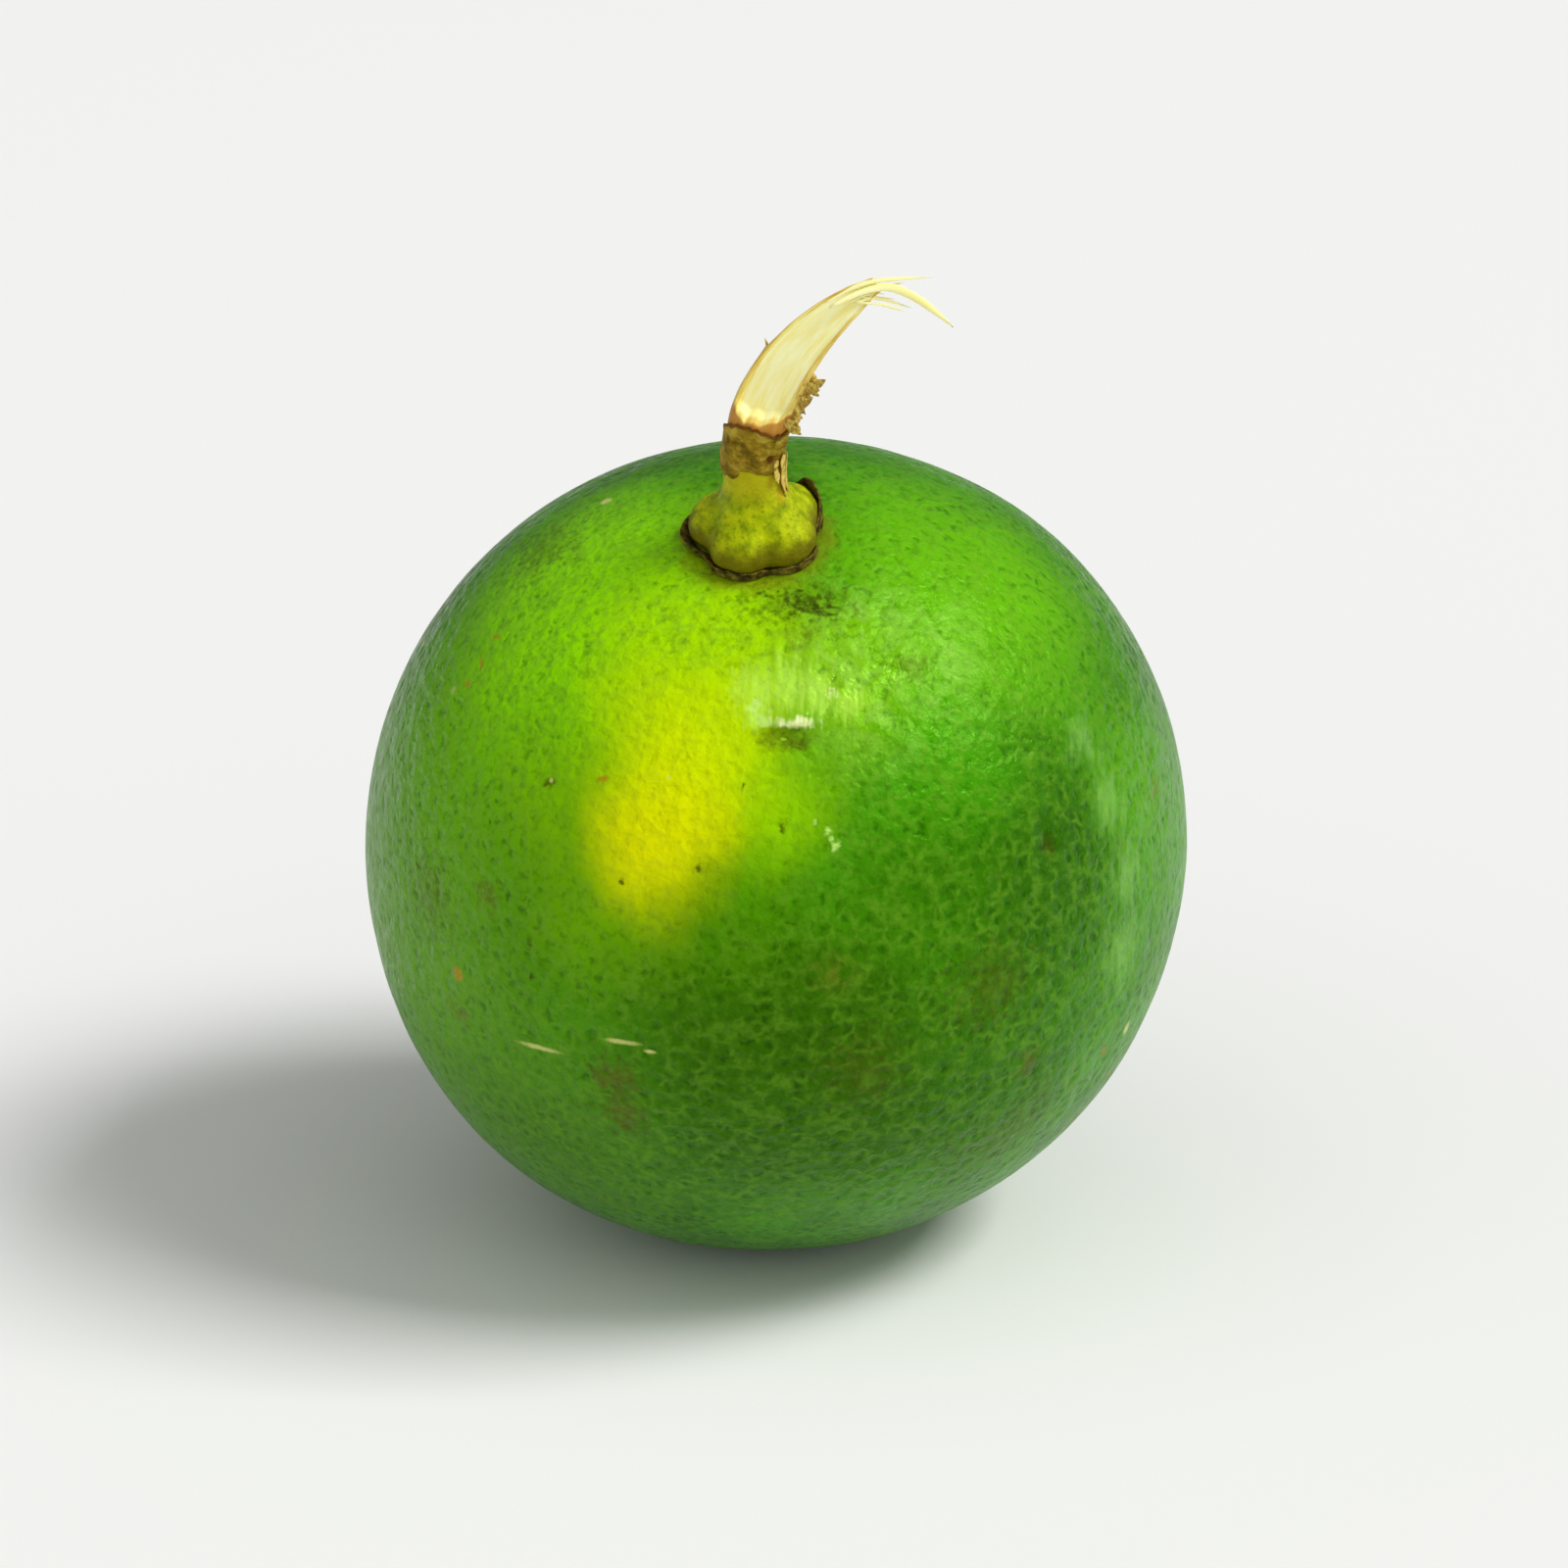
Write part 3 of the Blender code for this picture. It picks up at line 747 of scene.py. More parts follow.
def stemPoint(share):
    foot = np.array((0.0, 0.0, neckTop))
    tip = foot + np.array(stemCurve["tip"])
    pulls = (foot, foot + np.array((0, 0, stemCurve["rise"])), tip - np.array(stemCurve["reach"]), tip)
    if share < 0:  # below the bark the stem is straight
        return foot + np.array((0, 0, share * 3 * stemCurve["rise"]))
    rest = 1 - share
    early = rest**3 * pulls[0] + 3 * rest**2 * share * pulls[1]
    late = 3 * rest * share**2 * pulls[2] + share**3 * pulls[3]
    return early + late


def stemFrame(share):  # a point, and the directions to the left, out of the torn face and along
    along = stemPoint(share + 0.01) - stemPoint(share - 0.01)
    along = along / np.linalg.norm(along)
    face = np.array(stemCurve["tornFace"])
    thick = face - along * (face @ along)
    thick = thick / np.linalg.norm(thick)
    return stemPoint(share), np.cross(thick, along), thick, along


stemLength = sum(float(np.linalg.norm(stemPoint((i + 1) / 60) - stemPoint(i / 60))) for i in range(60))


def inView(right, up, back=0.0):  # a step as the front camera sees it, in the fruit's frame
    return (viewRight * right + viewUp * up + viewBack * back) @ fruitTurn


def near(angle, middle, width):  # 1 at an angle in degrees, fading to 0 round about
    apart = (math.degrees(angle) - middle + 180) % 360 - 180
    return math.exp(-((apart / width) ** 2))


def stemFlat(share):  # thickness over width
    return 1 - 0.38 * min(1.0, max(share, 0.0) / 0.6)


# the calyx and the dried collar round it
calyxButton = {
    "profile": [  # (from the axis, over the seat), from the underside up into the neck
        (0.2, -0.1), (2.5, -0.12), (2.95, 0.05), (3.22, 0.55), (3.2, 1.15), (2.95, 1.7), (2.45, 2.2),
        (1.92, 2.75), (1.64, 3.5), (1.54, 4.4), (1.45, 5.6),
    ],
    "lobes": 5,
    "lobeTurn": 29.0,  # degrees
    "lobeReach": 0.25,
    "sides": 144,
    "steps": 96,
}
driedCollar = {  # what is left of the sepals, dark and curled
    "radius": 3.17,
    "wall": 0.13,
    "lift": 0.22,
    "curlAt": 33.0,  # degrees, the sepal that stands up beside the neck
    "curlWidth": 26.0,
    "curl": 1.75,
    "sides": 160,
    "steps": 24,
}


def calyxLobe(angle):  # 1 at a lobe, -1 in a notch, with the notches narrower than the lobes
    turn = calyxButton["lobes"] * (angle - math.radians(calyxButton["lobeTurn"]))
    return 1 - 2 * (0.5 - 0.5 * math.cos(turn)) ** 2.2


def ontoSkin(x, y, over, fade=2.4):  # low points follow the skin's own curve, high ones the axis
    point = np.array((x, y, seatHeight + over))
    direction = point / np.linalg.norm(point)
    low = 1 - smoothStep(0.0, fade, over)
    return point + direction * (skinAt(direction) - seatHeight) * low


def calyxSurface(share, angle):
    across, over = smoothPath(calyxButton["profile"], share)
    out = smoothStep(1.75, 3.0, across)
    across += calyxButton["lobeReach"] * calyxLobe(angle) * out
    x, y = math.cos(angle), math.sin(angle)
    peel = near(angle, -12, 38) * smoothStep(2.6, 4.2, over)  # the neck is scuffed on its right
    across += 0.12 * ruffle(x * across, y * across, over, 1.5, 5.0)
    across += 0.05 * ruffle(x * across, y * across, over * 0.5, 0.5, 3.0) * (1 + 2 * peel)
    across += 0.018 * ruffle(x * across, y * across, over, 0.22)
    over += 0.10 * out * ruffle(x * across, y * across, 0.0, 1.1, 9.0)
    return ontoSkin(x * across, y * across, over), (x * across, y * across, over), peel


def collarSurface(share, angle):
    lobe = calyxLobe(angle)
    curl = near(angle, driedCollar["curlAt"], driedCollar["curlWidth"])
    left = near(angle, 185, 38)
    foot = driedCollar["radius"] + calyxButton["lobeReach"] * lobe + 0.16 * curl + 0.1 * left
    ragged = ruffle(4 * math.cos(angle), 4 * math.sin(angle), 0, 0.5, 2.0)
    lift = max(
        driedCollar["lift"] * (1 + 0.2 * lobe + 0.7 * ragged + 0.9 * left), 0.1
    ) + driedCollar["curl"] * curl
    wall = driedCollar["wall"]
    lean = 0.06 + 0.34 * left - 0.1 * curl  # how far the edge hangs out
    section = [
        (foot + 0.12, -0.12), (foot + 0.1, 0.02), (foot + 0.06 + 0.5 * lean + 0.1 * curl, 0.55 * lift),
        (foot + lean + 0.5 * wall, lift), (foot + lean - 0.5 * wall, lift + 0.03),
        (foot - wall + 0.5 * lean + 0.1 * curl, 0.5 * lift), (foot - 0.3, -0.12), (foot + 0.12, -0.12),
    ]
    across, over = smoothPath(section, share)
    x, y = math.cos(angle), math.sin(angle)
    across += 0.04 * ruffle(x * across, y * across, over, 0.35, 1.0)
    return ontoSkin(x * across, y * across, over, 3.6), (x * across, y * across, over), curl


def firmGreenCalyx():
    # the fleshy button the fruit hung from: yellow-green, mottled, browned and painted darker towards its
    # lower edge, where its underside is shaded, and browning on its neck
    material = bpy.data.materials.new("firmGreenCalyx")
    material.use_nodes = True
    tree = material.node_tree
    tree.nodes.clear()
    place = addNode(tree, "ShaderNodeAttribute", {"attribute_name": "straight"}).outputs["Vector"]
    scuff = addNode(tree, "ShaderNodeAttribute", {"attribute_name": "worn"}).outputs["Fac"]
    split = addNode(tree, "ShaderNodeSeparateXYZ", links={0: place})
    mottle = addNode(
        tree, "ShaderNodeTexNoise", {"Scale": 1.3, "Detail": 4.0, "Roughness": 0.6}, {"Vector": place}
    )
    ramp = addNode(tree, "ShaderNodeValToRGB", links={"Fac": mottle.outputs["Fac"]})
    ramp.color_ramp.elements[0].position = 0.34
    ramp.color_ramp.elements[0].color = hexColour("#768c04")
    ramp.color_ramp.elements[1].position = 0.64
    ramp.color_ramp.elements[1].color = hexColour("#b4c008")
    colour = ramp.outputs["Color"]
    # specks 0.3 mm wide, drawn a little coarser than the real pores
    speckle = addNode(tree, "ShaderNodeTexNoise", {"Scale": 3.6, "Detail": 2.0}, {"Vector": place})
    speckMask = addNode(
        tree, "ShaderNodeMapRange", {"From Min": 0.56, "From Max": 0.68, "To Max": 0.5},
        {"Value": speckle.outputs["Fac"]}
    )
    colour = addNode(
        tree, "ShaderNodeMix", {"data_type": "RGBA", 7: hexColour("#5f6a08")},
        {0: speckMask.outputs[0], 6: colour}
    ).outputs[2]
    # painted shade and browning: the button turns brown and darker towards its lower edge, where its
    # underside is shaded
    edge = addNode(
        tree, "ShaderNodeMath", {"operation": "MULTIPLY_ADD", 1: 0.8},
        {0: mottle.outputs["Fac"], 2: split.outputs["Z"]}
    )
    edgeMask = addNode(
        tree, "ShaderNodeMapRange",
        {"interpolation_type": "SMOOTHSTEP", "From Min": 2.6, "From Max": 1.35, "To Max": 0.85},
        {"Value": edge.outputs[0]},
    )
    colour = addNode(
        tree, "ShaderNodeMix", {"data_type": "RGBA", 7: hexColour("#625408")},
        {0: edgeMask.outputs[0], 6: colour}
    ).outputs[2]
    neckMask = addNode(
        tree, "ShaderNodeMapRange",
        {"interpolation_type": "SMOOTHSTEP", "From Min": 3.3, "From Max": 5.6, "To Max": 0.75},
        {"Value": edge.outputs[0]},
    )
    colour = addNode(
        tree, "ShaderNodeMix", {"data_type": "RGBA", 7: hexColour("#bcac18")},
        {0: neckMask.outputs[0], 6: colour}
    ).outputs[2]
    streaks = addNode(tree, "ShaderNodeMapping", {"Scale": (1.0, 1.0, 0.35)}, {"Vector": place})
    strips = addNode(
        tree, "ShaderNodeTexNoise", {"Scale": 2.4, "Detail": 3.0}, {"Vector": streaks.outputs[0]}
    )
    stripMask = addNode(
        tree, "ShaderNodeMapRange", {"interpolation_type": "SMOOTHSTEP", "From Min": 0.38, "From Max": 0.6},
        {"Value": strips.outputs["Fac"], "To Max": scuff},
    )
    colour = addNode(
        tree, "ShaderNodeMix", {"data_type": "RGBA", 7: hexColour("#c98c22")},
        {0: stripMask.outputs[0], 6: colour}
    ).outputs[2]
    bump = addNode(
        tree, "ShaderNodeBump", {"Strength": 0.7, "Distance": 0.12 * mm}, {"Height": speckle.outputs["Fac"]}
    )
    shader = addNode(
        tree, "ShaderNodeBsdfPrincipled",
        {"Roughness": 0.55, "IOR": 1.36, "Specular Tint": hexColour("#e8ff60")},
        {"Base Color": colour, "Normal": bump.outputs[0]},
    )
    addNode(tree, "ShaderNodeOutputMaterial", links={"Surface": shader.outputs[0]})
    return material


# bark band, peeling strips and shreds
barkSleeve = {
    "foot": 0.0,  # mm along the stem from the top of the neck
    "top": 2.35,
    "slope": 0.85,
    "tongue": 2.2,  # how much higher the bark runs up on the right
    "radius": 1.68,
    "wall": 0.3,
    "sides": 160,
    "steps": 96,
}
peeledStrips = [  # (turn in degrees, where it starts along the stem, length, width, how far it stands off)
    (158, 1.7, 2.7, 0.62, 0.03), (178, 1.5, 3.1, 0.5, 0.07), (140, 1.6, 1.5, 0.42, 0.02),
    (200, 1.0, 2.2, 0.36, 0.12),
]
barkShreds = {
    "count": 54,  # in clusters of (share of the stem's curve, spread)
    "clusters": [(0.29, 0.018), (0.33, 0.02), (0.37, 0.02), (0.43, 0.02), (0.46, 0.012), (0.5, 0.02)],
    "turn": (150, 205),  # degrees round the stem
    "length": (0.35, 0.85),
    "width": (0.2, 0.46),
}


def barkSurface(share, angle):
    # up the outside, over a ragged lip, and down inside against the wood
    x, y = math.cos(angle), math.sin(angle)
    climb = near(angle, 196, 36)  # on the right and behind, a tongue of bark runs up the stem
    slope = barkSleeve["slope"] * y  # both edges stand higher in front
    ragged = ruffle(3 * x, 3 * y, 0, 0.45, 2.0)
    top = barkSleeve["top"] + slope + barkSleeve["tongue"] * climb + (0.12 + 0.6 * climb) * ragged
    foot = barkSleeve["foot"] + slope + 0.3 * ruffle(3 * x, 3 * y, 0, 0.9, 7.0) + 0.4 * near(angle, 150, 16)
    rise = min(share / 0.8, 1.0)
    inwards = barkSleeve["wall"] * smoothStep(0.8, 0.9, share)
    along = foot + (top - foot) * rise - 0.8 * max(0.0, share - 0.85) / 0.15
    spot = along / stemLength
    middle, wide, thick, _ = stemFrame(spot)
    wrinkle = ruffle(x * 0.9, y * 0.9, along, 0.36, 1.0)
    lump = ruffle(x * 1.8, y * 1.8, along, 0.8, 4.0)
    fine = ruffle(x * 1.8, y * 1.8, along, 0.2, 6.0)
    radius = max(
        barkSleeve["radius"] - 0.35 * max(0.0, along - barkSleeve["top"] - 0.8), woodHalf(spot) + 0.1
    )
    radius += 0.07 * wrinkle + 0.09 * lump + 0.03 * fine - inwards
    radius -= 0.14 * smoothStep(0.12, 0.0, share)  # the lower edge lies on the neck
    radius += 0.09 * smoothStep(0.62, 0.8, share) * (1 - smoothStep(0.8, 0.92, share)) * (1 - climb)
    # a small hole in the bark: sunk in, and counted as torn edge so that it is painted dark, painted shade in
    # the hole
    hole = math.exp(-(((along - 1.5) / 0.4) ** 2)) * near(angle, 133, 15)
    radius -= 0.4 * hole * (1 - smoothStep(0.75, 0.85, share))
    edge = smoothStep(0.68, 0.8, share) * (1 - 0.7 * climb) + hole
    point = middle + wide * x * radius + thick * y * radius * stemFlat(spot)
    return point, (x * radius, y * radius, along), min(edge, 1.0)


def addBlade(shape, points, width, thickness, facing, seed, worn=0.0, rooted=9.0, blunt=0.7):
    # a thin ragged strip along points, its flat side facing a direction
    def bladeSurface(share, angle):
        middle = smoothPath(points, share)
        ahead = smoothPath(points, share + 0.02) - smoothPath(points, share - 0.02)
        ahead = ahead / np.linalg.norm(ahead)
        side = np.cross(ahead, facing)
        side = side / np.linalg.norm(side)
        flat = np.cross(side, ahead)
        taper = min(1.0, 3.2 * (1 - share)) ** (0.7 / blunt) * min(1.0, 0.25 + rooted * share)
        taper *= 1 + 0.35 * ruffle(share * 4, 0, 0, 1.0, seed)
        across = 0.5 * width * max(taper, 0.08)
        deep = 0.5 * thickness * max(taper, 0.2)
        crumple = 0.3 * width * ruffle(share * 3, math.cos(angle), 0, 0.8, seed + 3)
        point = middle + side * math.cos(angle) * across + flat * (math.sin(angle) * deep + crumple * share)
        return point, (math.cos(angle) * across, seed, share * 3), worn

    addTube(shape, 10, 14, bladeSurface)


def growStrips(material):
    shape = startTubes()
    for seed, (turn, start, length, width, off) in enumerate(peeledStrips):
        points = []
        for part in range(5):
            share = part / 4
            middle, wide, thick, _ = stemFrame((start - length * share) / stemLength)
            outwards = wide * math.cos(math.radians(turn)) + thick * math.sin(math.radians(turn))
            reach = barkSleeve["radius"] + 0.02 + off * share**1.5 + 0.04 * math.sin(6 * share + seed)
            points.append(middle + outwards * reach)
        addBlade(shape, points, width, 0.09, outwards, seed * 1.7, 1.0)
    return finishTubes("peeledStrips", shape, material)


def growShreds(material):
    chance = random.Random(11)
    shape = startTubes()
    for seed in range(barkShreds["count"]):
        share = chance.gauss(*chance.choice(barkShreds["clusters"]))
        turn = math.radians(chance.uniform(*barkShreds["turn"]))
        length = chance.uniform(*barkShreds["length"]) * chance.choice((0.7, 0.9, 1.0, 1.5))
        width = chance.uniform(*barkShreds["width"])
        middle, wide, thick, ahead = stemFrame(share)
        outwards = wide * math.cos(turn) + thick * math.sin(turn)
        root = middle + outwards * (woodHalf(share) * 0.98)
        heading = outwards * chance.uniform(0.1, 0.7) + ahead * chance.uniform(-0.6, 1.0)
        droop = inView(chance.uniform(0, 0.35), chance.uniform(-0.5, 0.3))
        points = [root, root + heading * 0.5 * length, root + (heading + 0.6 * droop) * length]
        facing = thick + outwards * chance.uniform(-0.6, 0.9)
        addBlade(
            shape, points, width, 0.09, facing, seed * 2.3, chance.uniform(0.5, 1.0), 9.0,
            chance.uniform(0.5, 1.6),
        )
    middle, wide, thick, ahead = stemFrame(0.52)  # one whisker on the other side
    root = middle + wide * woodHalf(0.52)
    addBlade(
        shape, [root - ahead * 0.5, root, root + wide * 0.35 + ahead * 0.25], 0.14, 0.07, thick, 50.0, 0.6
    )
    return finishTubes("barkShreds", shape, material)


def dryStemBark():
    # thin dead bark: dull brown, wrinkled along the stem, reddish and darker where it tore, and painted dark
    # as shade in its small hole
    material = bpy.data.materials.new("dryStemBark")
    material.use_nodes = True
    tree = material.node_tree
    tree.nodes.clear()
    place = addNode(tree, "ShaderNodeAttribute", {"attribute_name": "straight"}).outputs["Vector"]
    torn = addNode(tree, "ShaderNodeAttribute", {"attribute_name": "worn"}).outputs["Fac"]
    drawn = addNode(tree, "ShaderNodeMapping", {"Scale": (0.8, 0.8, 1.4)}, {"Vector": place})
    fine = addNode(
        tree, "ShaderNodeTexNoise", {"Scale": 1.7, "Detail": 5.0, "Roughness": 0.62},
        {"Vector": drawn.outputs[0]},
    )
    ramp = addNode(tree, "ShaderNodeValToRGB", links={"Fac": fine.outputs["Fac"]})
    ramp.color_ramp.elements[0].position = 0.36
    ramp.color_ramp.elements[0].color = hexColour("#5e4a04")
    ramp.color_ramp.elements[1].position = 0.66
    ramp.color_ramp.elements[1].color = hexColour("#b49c3a")
    middle = ramp.color_ramp.elements.new(0.5)
    middle.color = hexColour("#8e7410")
    edge = addNode(
        tree, "ShaderNodeMath", {"operation": "MULTIPLY_ADD", 1: 0.5}, {0: fine.outputs["Fac"], 2: torn}
    )
    edgeMask = addNode(
        tree, "ShaderNodeMapRange",
        {"interpolation_type": "SMOOTHSTEP", "From Min": 0.75, "From Max": 1.15, "To Max": 0.85},
        {"Value": edge.outputs[0]},
    )
    colour = addNode(
        tree, "ShaderNodeMix", {"data_type": "RGBA", 7: hexColour("#5e2c06")},
        {0: edgeMask.outputs[0], 6: ramp.outputs["Color"]}
    )
    bump = addNode(
        tree, "ShaderNodeBump", {"Strength": 1.0, "Distance": 0.14 * mm}, {"Height": fine.outputs["Fac"]}
    )
    shader = addNode(
        tree, "ShaderNodeBsdfPrincipled",
        {"Roughness": 0.72, "IOR": 1.36, "Specular Tint": hexColour("#ffe6b0")},
        {"Base Color": colour.outputs[2], "Normal": bump.outputs[0]},
    )
    addNode(tree, "ShaderNodeOutputMaterial", links={"Surface": shader.outputs[0]})
    return material


def driedSepalSkin():
    # sepals dried to a brown crust: near black in the folds, straw-coloured where the edge is thin
    material = bpy.data.materials.new("driedSepalSkin")
    material.use_nodes = True
    tree = material.node_tree
    tree.nodes.clear()
    place = addNode(tree, "ShaderNodeAttribute", {"attribute_name": "straight"}).outputs["Vector"]
    fine = addNode(
        tree, "ShaderNodeTexNoise", {"Scale": 2.2, "Detail": 4.0, "Roughness": 0.6}, {"Vector": place}
    )
    ramp = addNode(tree, "ShaderNodeValToRGB", links={"Fac": fine.outputs["Fac"]})
    ramp.color_ramp.elements[0].position = 0.42
    ramp.color_ramp.elements[0].color = hexColour("#2e2504")
    ramp.color_ramp.elements[1].position = 0.72
    ramp.color_ramp.elements[1].color = hexColour("#8a7a26")
    bump = addNode(
        tree, "ShaderNodeBump", {"Strength": 0.8, "Distance": 0.1 * mm}, {"Height": fine.outputs["Fac"]}
    )
    shader = addNode(
        tree, "ShaderNodeBsdfPrincipled",
        {"Roughness": 0.7, "IOR": 1.36, "Specular Tint": hexColour("#ffe6b0")},
        {"Base Color": ramp.outputs["Color"], "Normal": bump.outputs[0]},
    )
    addNode(tree, "ShaderNodeOutputMaterial", links={"Surface": shader.outputs[0]})
    return material


def peeledInnerBark():
    # the orange-tan inside of peeled bark, fibrous along the strip
    material = bpy.data.materials.new("peeledInnerBark")
    material.use_nodes = True
    tree = material.node_tree
    tree.nodes.clear()
    place = addNode(tree, "ShaderNodeAttribute", {"attribute_name": "straight"}).outputs["Vector"]
    torn = addNode(tree, "ShaderNodeAttribute", {"attribute_name": "worn"}).outputs["Fac"]
    fine = addNode(tree, "ShaderNodeTexNoise", {"Scale": 2.0, "Detail": 3.0}, {"Vector": place})
    ramp = addNode(tree, "ShaderNodeValToRGB", links={"Fac": fine.outputs["Fac"]})
    ramp.color_ramp.elements[0].position = 0.35
    ramp.color_ramp.elements[0].color = hexColour("#94701c")
    ramp.color_ramp.elements[1].position = 0.65
    ramp.color_ramp.elements[1].color = hexColour("#f0d468")
    colour = addNode(
        tree, "ShaderNodeMix", {"data_type": "RGBA", 6: hexColour("#a08c30")},
        {0: torn, 7: ramp.outputs["Color"]}
    )
    bump = addNode(
        tree, "ShaderNodeBump", {"Strength": 0.8, "Distance": 0.06 * mm}, {"Height": fine.outputs["Fac"]}
    )
    shader = addNode(
        tree, "ShaderNodeBsdfPrincipled", {"Roughness": 0.65, "IOR": 1.36},
        {"Base Color": colour.outputs[2], "Normal": bump.outputs[0]},
    )
    addNode(tree, "ShaderNodeOutputMaterial", links={"Surface": shader.outputs[0]})
    return material


# bare wood and its torn end
bareWood = {
    "start": 0.1,  # share of the stem's curve
    "widths": [1.2, 1.54, 1.6, 1.54, 1.42, 1.28, 1.12, 0.92, 0.7, 0.42],  # half width, mm, from start to tip
    "sides": 144,
    "steps": 160,
    "splitFrom": 0.25,  # share where the split face begins
    "splitLevel": 0.42,  # what is left of the thickness on that side
}
tornFibres = {
    "straight": [(-2.6, -0.95), (-1.0, -0.1), (0.4, 0.22), (2.9, 0.36)],  # (right, up) of the tip, in mm
    "curved": [(-2.4, -1.2), (-0.9, -0.45), (0.6, -0.15), (2.0, -0.7), (3.1, -1.5), (3.9, -2.2)],
    "hairs": 7,
}


def woodHalf(share):  # half the width of the wood at a share of the stem's curve
    return float(
        smoothPath(
            [(w,) for w in bareWood["widths"]], (share - bareWood["start"]) / (1 - bareWood["start"])
        )[0]
    )


def woodSurface(share, angle):
    spot = bareWood["start"] + (1 - bareWood["start"]) * share
    half = woodHalf(spot)
    middle, wide, thick, _ = stemFrame(spot)
    x, y = math.cos(angle), math.sin(angle)
    along = spot * stemLength
    begin = bareWood["splitFrom"] + 0.05 * x * x - 0.03 * x + 0.012 * ruffle(2 * x, 0, 0, 0.5)
    split = smoothStep(begin, begin + 0.045, spot)
    level = 1 - (1 - bareWood["splitLevel"]) * split  # the split side is cut back to this
    depth = y
    torn = 0.0
    if y > 0:
        steep = 1.7 / max(level, 0.2)
        depth = y + (level * math.tanh(steep * y) / math.tanh(steep) - y) * split
        depth -= 0.24 * split * smoothStep(0.5, 0.7, y)
        rim = 0.14 * (1 - smoothStep(0.3, 0.6, spot))  # more of the outer skin is left low down
        torn = split * smoothStep(0.5 + rim, 0.66 + rim, y)
    torn -= smoothStep(begin + 0.03, begin - 0.012, spot) * smoothStep(-0.3, 0.4, y)
    grain = ruffle(x * half * 1.6, y * half, along * 0.1, 0.22, 2.0)
    streak = ruffle(x * half, y * half, along * 0.22, 0.7, 8.0)
    radius = half * (1 + 0.02 * grain + 0.035 * streak)
    point = middle + wide * x * radius + thick * depth * radius * stemFlat(spot)
    return point, (x * half, y * half, along), torn


def growFibres(material):
    chance = random.Random(5)
    shape = startTubes()
    tip = stemPoint(1.0)
    face = inView(0, 0, 1)
    straight = [tip + inView(*step, 0.15) for step in tornFibres["straight"]]
    addBlade(shape, straight, 0.26, 0.14, face, 1.0, 1.0, 2.0)
    curved = [tip + inView(*step, 0.2) for step in tornFibres["curved"]]
    addBlade(shape, curved, 0.44, 0.2, face, 4.0, 1.0, 2.0)
    for hair in range(tornFibres["hairs"]):
        root = stemPoint(0.9) + inView(chance.uniform(-0.3, 0.4), chance.uniform(-0.35, 0.2), 0.25)
        reach = chance.uniform(1.2, 2.6)
        bend = chance.uniform(-0.9, 0.15)
        end = inView(reach, 0.25 * reach + bend * reach * 0.6)
        addBlade(
            shape, [root, root + end * 0.5 + inView(0, 0.12), root + end], 0.13, 0.08, face, 8.0 + hair, 0.8
        )
    return finishTubes("tornFibres", shape, material)


def tornPaleWood():
    # wood split open by hand: cream fibres on the split face, yellow-tan where its outer skin is left
    material = bpy.data.materials.new("tornPaleWood")
    material.use_nodes = True
    tree = material.node_tree
    tree.nodes.clear()
    place = addNode(tree, "ShaderNodeAttribute", {"attribute_name": "straight"}).outputs["Vector"]
    torn = addNode(tree, "ShaderNodeAttribute", {"attribute_name": "worn"}).outputs["Fac"]
    # real wood fibres are under 0.1 mm wide, so they are drawn coarser, in bundles 0.3 by 2.5 mm
    drawn = addNode(tree, "ShaderNodeMapping", {"Scale": (1.0, 1.0, 0.12)}, {"Vector": place})
    fibres = addNode(
        tree, "ShaderNodeTexNoise", {"Scale": 3.4, "Detail": 5.0, "Roughness": 0.6},
        {"Vector": drawn.outputs[0]},
    )
    cream = addNode(tree, "ShaderNodeValToRGB", links={"Fac": fibres.outputs["Fac"]})
    cream.color_ramp.elements[0].position = 0.3
    cream.color_ramp.elements[0].color = hexColour("#faee8c")
    cream.color_ramp.elements[1].position = 0.62
    cream.color_ramp.elements[1].color = hexColour("#fffec4")
    tan = addNode(tree, "ShaderNodeValToRGB", links={"Fac": fibres.outputs["Fac"]})
    tan.color_ramp.elements[0].position = 0.34
    tan.color_ramp.elements[0].color = hexColour("#dab24c")
    tan.color_ramp.elements[1].position = 0.64
    tan.color_ramp.elements[1].color = hexColour("#f8ea88")
    edge = addNode(
        tree, "ShaderNodeMath", {"operation": "MULTIPLY_ADD", 1: 0.5}, {0: fibres.outputs["Fac"], 2: torn}
    )
    faceMask = addNode(
        tree, "ShaderNodeMapRange", {"interpolation_type": "SMOOTHSTEP", "From Min": 0.5, "From Max": 1.0},
        {"Value": edge.outputs[0]},
    )
    colour = addNode(
        tree, "ShaderNodeMix", {"data_type": "RGBA"},
        {0: faceMask.outputs[0], 6: tan.outputs["Color"], 7: cream.outputs["Color"]},
    )
    below = addNode(  # under the split face it is browner
        tree, "ShaderNodeMapRange",
        {"interpolation_type": "SMOOTHSTEP", "From Min": 0.35, "From Max": -0.35, "To Max": 0.85},
        {"Value": edge.outputs[0]},
    )
    colour = addNode(
        tree, "ShaderNodeMix", {"data_type": "RGBA", 7: hexColour("#b87420")},
        {0: below.outputs[0], 6: colour.outputs[2]},
    )
    bump = addNode(
        tree, "ShaderNodeBump", {"Strength": 0.7, "Distance": 0.05 * mm}, {"Height": fibres.outputs["Fac"]}
    )
    shader = addNode(
        tree, "ShaderNodeBsdfPrincipled",
        {"Roughness": 0.6, "IOR": 1.36, "Specular Tint": hexColour("#fff6b8")},
        {"Base Color": colour.outputs[2], "Normal": bump.outputs[0]},
    )
    addNode(tree, "ShaderNodeOutputMaterial", links={"Surface": shader.outputs[0]})
    return material


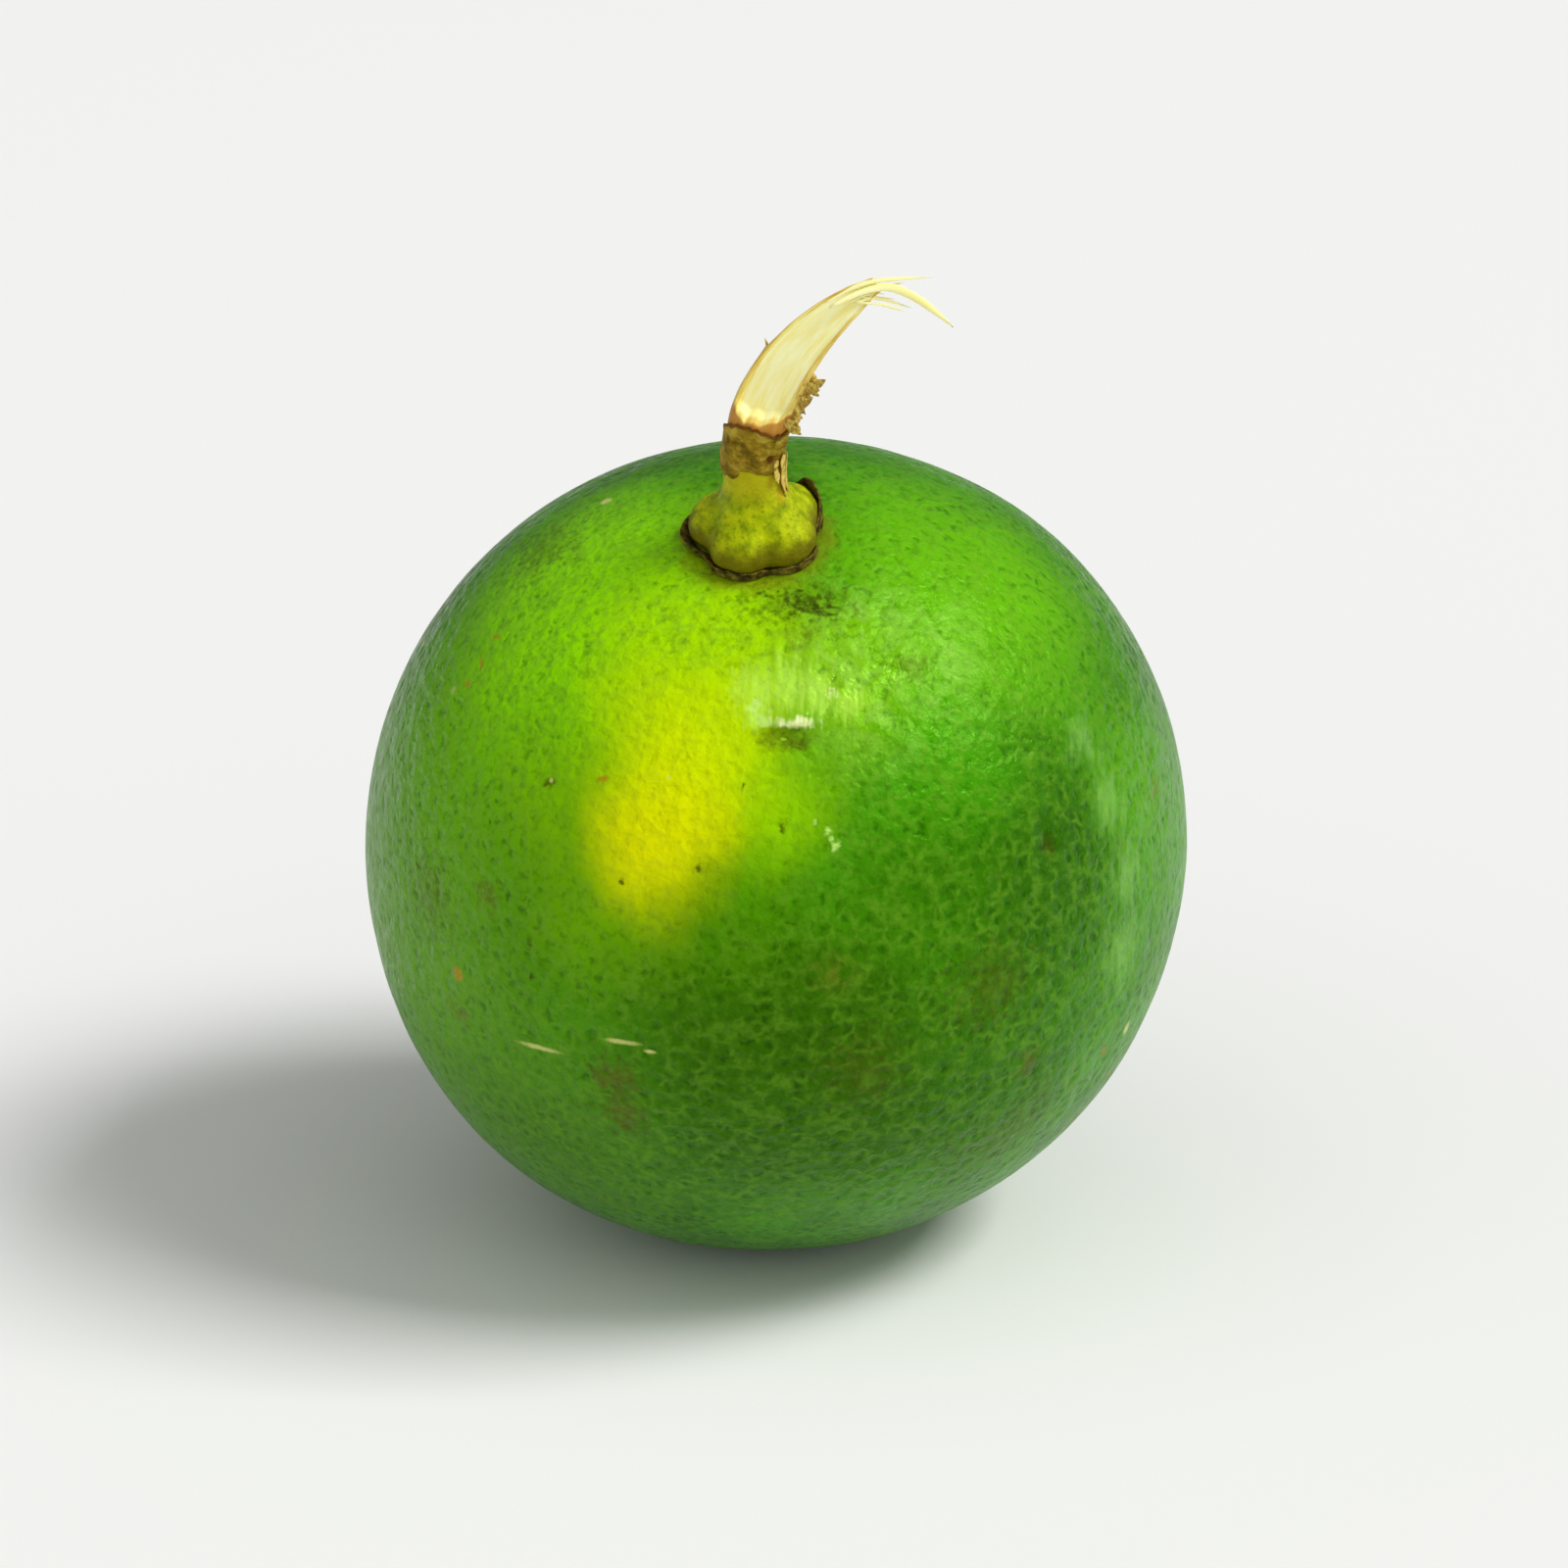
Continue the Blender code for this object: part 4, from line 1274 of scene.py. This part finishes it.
# the pieces, put where the CAD has them
rind = waxyLimeRind()
limeSkin = growSkin(rind)
sinkGlands(limeSkin)
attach(limeSkin, "root")
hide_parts("fruit")
print("skin grown:", len(limeSkin.data.polygons), "faces")

button = turnTube("calyxButton", calyxButton["sides"], calyxButton["steps"], calyxSurface, firmGreenCalyx())
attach(button, "root")
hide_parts("calyx")
collar = turnTube(
    "driedCollar", driedCollar["sides"], driedCollar["steps"], collarSurface, driedSepalSkin(), True
)
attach(collar, "root")
print("calyx made")

bark = dryStemBark()
innerBark = peeledInnerBark()
sleeve = turnTube("barkSleeve", barkSleeve["sides"], barkSleeve["steps"], barkSurface, bark)
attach(sleeve, "root")
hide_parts("stem_bark")
strips = growStrips(innerBark)
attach(strips, "root")
shreds = growShreds(innerBark)
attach(shreds, "root")
print("bark made")

paleWood = tornPaleWood()
wood = turnTube("bareWood", bareWood["sides"], bareWood["steps"], woodSurface, paleWood)
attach(wood, "root")
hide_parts("stem_wood")
fibres = growFibres(paleWood)
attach(fibres, "root")
print("stem made")


# the studio
studio = {
    "floorRadius": 1.4,  # metres
    "floorColour": "#f0f0ee",
    "fadeFrom": 0.25,  # metres from the middle
    "fadeTo": 1.2,
    "fill": 0.69,  # light from the front, all round
    "fillBehind": 0.16,
    "backdrop": 0.88,  # what the camera sees past the floor's edge
    "key": {"from": (0.633, -0.152, 0.759), "distance": 20.0, "size": (9.33, 6.22), "power": 3128.0},
}


def layFloor():  # plain and pale, and far out it fades into the backdrop, so that its edge doesn't show
    shape = bmesh.new()
    bmesh.ops.create_circle(shape, cap_ends=True, segments=96, radius=studio["floorRadius"])
    material = bpy.data.materials.new("matteFloor")
    material.use_nodes = True
    tree = material.node_tree
    tree.nodes.clear()
    coords = addNode(tree, "ShaderNodeTexCoord")
    away = addNode(tree, "ShaderNodeVectorMath", {"operation": "LENGTH"}, {0: coords.outputs["Object"]})
    fade = addNode(
        tree, "ShaderNodeMapRange",
        {"interpolation_type": "SMOOTHSTEP", "From Min": studio["fadeFrom"], "From Max": studio["fadeTo"]},
        {"Value": away.outputs["Value"]},
    )
    matte = addNode(
        tree, "ShaderNodeBsdfPrincipled",
        {"Base Color": hexColour(studio["floorColour"]), "Roughness": 0.9, "Specular IOR Level": 0.1},
    )
    pale = addNode(
        tree, "ShaderNodeEmission", {"Color": hexColour("#ffffff"), "Strength": studio["backdrop"]}
    )
    mixed = addNode(
        tree, "ShaderNodeMixShader", links={0: fade.outputs[0], 1: matte.outputs[0], 2: pale.outputs[0]}
    )
    addNode(tree, "ShaderNodeOutputMaterial", links={"Surface": mixed.outputs[0]})
    floor = finishPiece("studioFloor", shape, material, smooth=False)


def hangLight(name, light):
    lamp = bpy.data.lights.new(name, "AREA")
    lamp.shape = "RECTANGLE"
    lamp.size, lamp.size_y = light["size"]
    lamp.energy = light["power"]
    aim = Vector(fruitMiddle * mm)
    softbox = bpy.data.objects.new(name, lamp)
    softbox.location = aim + Vector(light["from"]).normalized() * light["distance"]
    softbox.rotation_euler = (aim - softbox.location).to_track_quat("-Z", "Y").to_euler()
    bpy.context.scene.collection.objects.link(softbox)


def setWorld():  # even fill from the front, less from behind, and a backdrop as pale as the floor
    world = bpy.data.worlds.new("paleSurround")
    world.use_nodes = True
    tree = world.node_tree
    tree.nodes.clear()
    coords = addNode(tree, "ShaderNodeTexCoord")
    aim = addNode(tree, "ShaderNodeSeparateXYZ", links={0: coords.outputs["Generated"]})
    front = addNode(
        tree, "ShaderNodeMapRange",
        {"interpolation_type": "SMOOTHSTEP", "From Min": 0.75, "From Max": -0.5,
         "To Min": studio["fillBehind"], "To Max": studio["fill"]},
        {"Value": aim.outputs["Y"]},
    )
    path = addNode(tree, "ShaderNodeLightPath")
    strength = addNode(
        tree, "ShaderNodeMix", {"data_type": "FLOAT", 3: studio["backdrop"]},
        {0: path.outputs["Is Camera Ray"], 2: front.outputs[0]},
    )
    background = addNode(
        tree, "ShaderNodeBackground", {"Color": hexColour("#ffffff")}, {"Strength": strength.outputs[0]}
    )
    addNode(tree, "ShaderNodeOutputWorld", links={"Surface": background.outputs[0]})
    bpy.context.scene.world = world


def placeCamera():
    middle = fruitMiddle * mm
    eye = middle + viewBack * viewpoint["distance"] * mm
    target = middle + (viewUp * viewpoint["aimUp"] + viewRight * viewpoint["aimRight"]) * mm
    lens = bpy.data.cameras.new("frontView")
    lens.lens = viewpoint["lens"]
    lens.clip_start = 0.01
    camera = bpy.data.objects.new("frontView", lens)
    camera.location = eye
    camera.rotation_euler = Vector(target - eye).to_track_quat("-Z", "Y").to_euler()
    bpy.context.scene.collection.objects.link(camera)
    bpy.context.scene.camera = camera


layFloor()
setWorld()
hangLight("keySoftbox", studio["key"])
placeCamera()
bpy.context.scene.view_settings.view_transform = "Standard"
print("studio set")
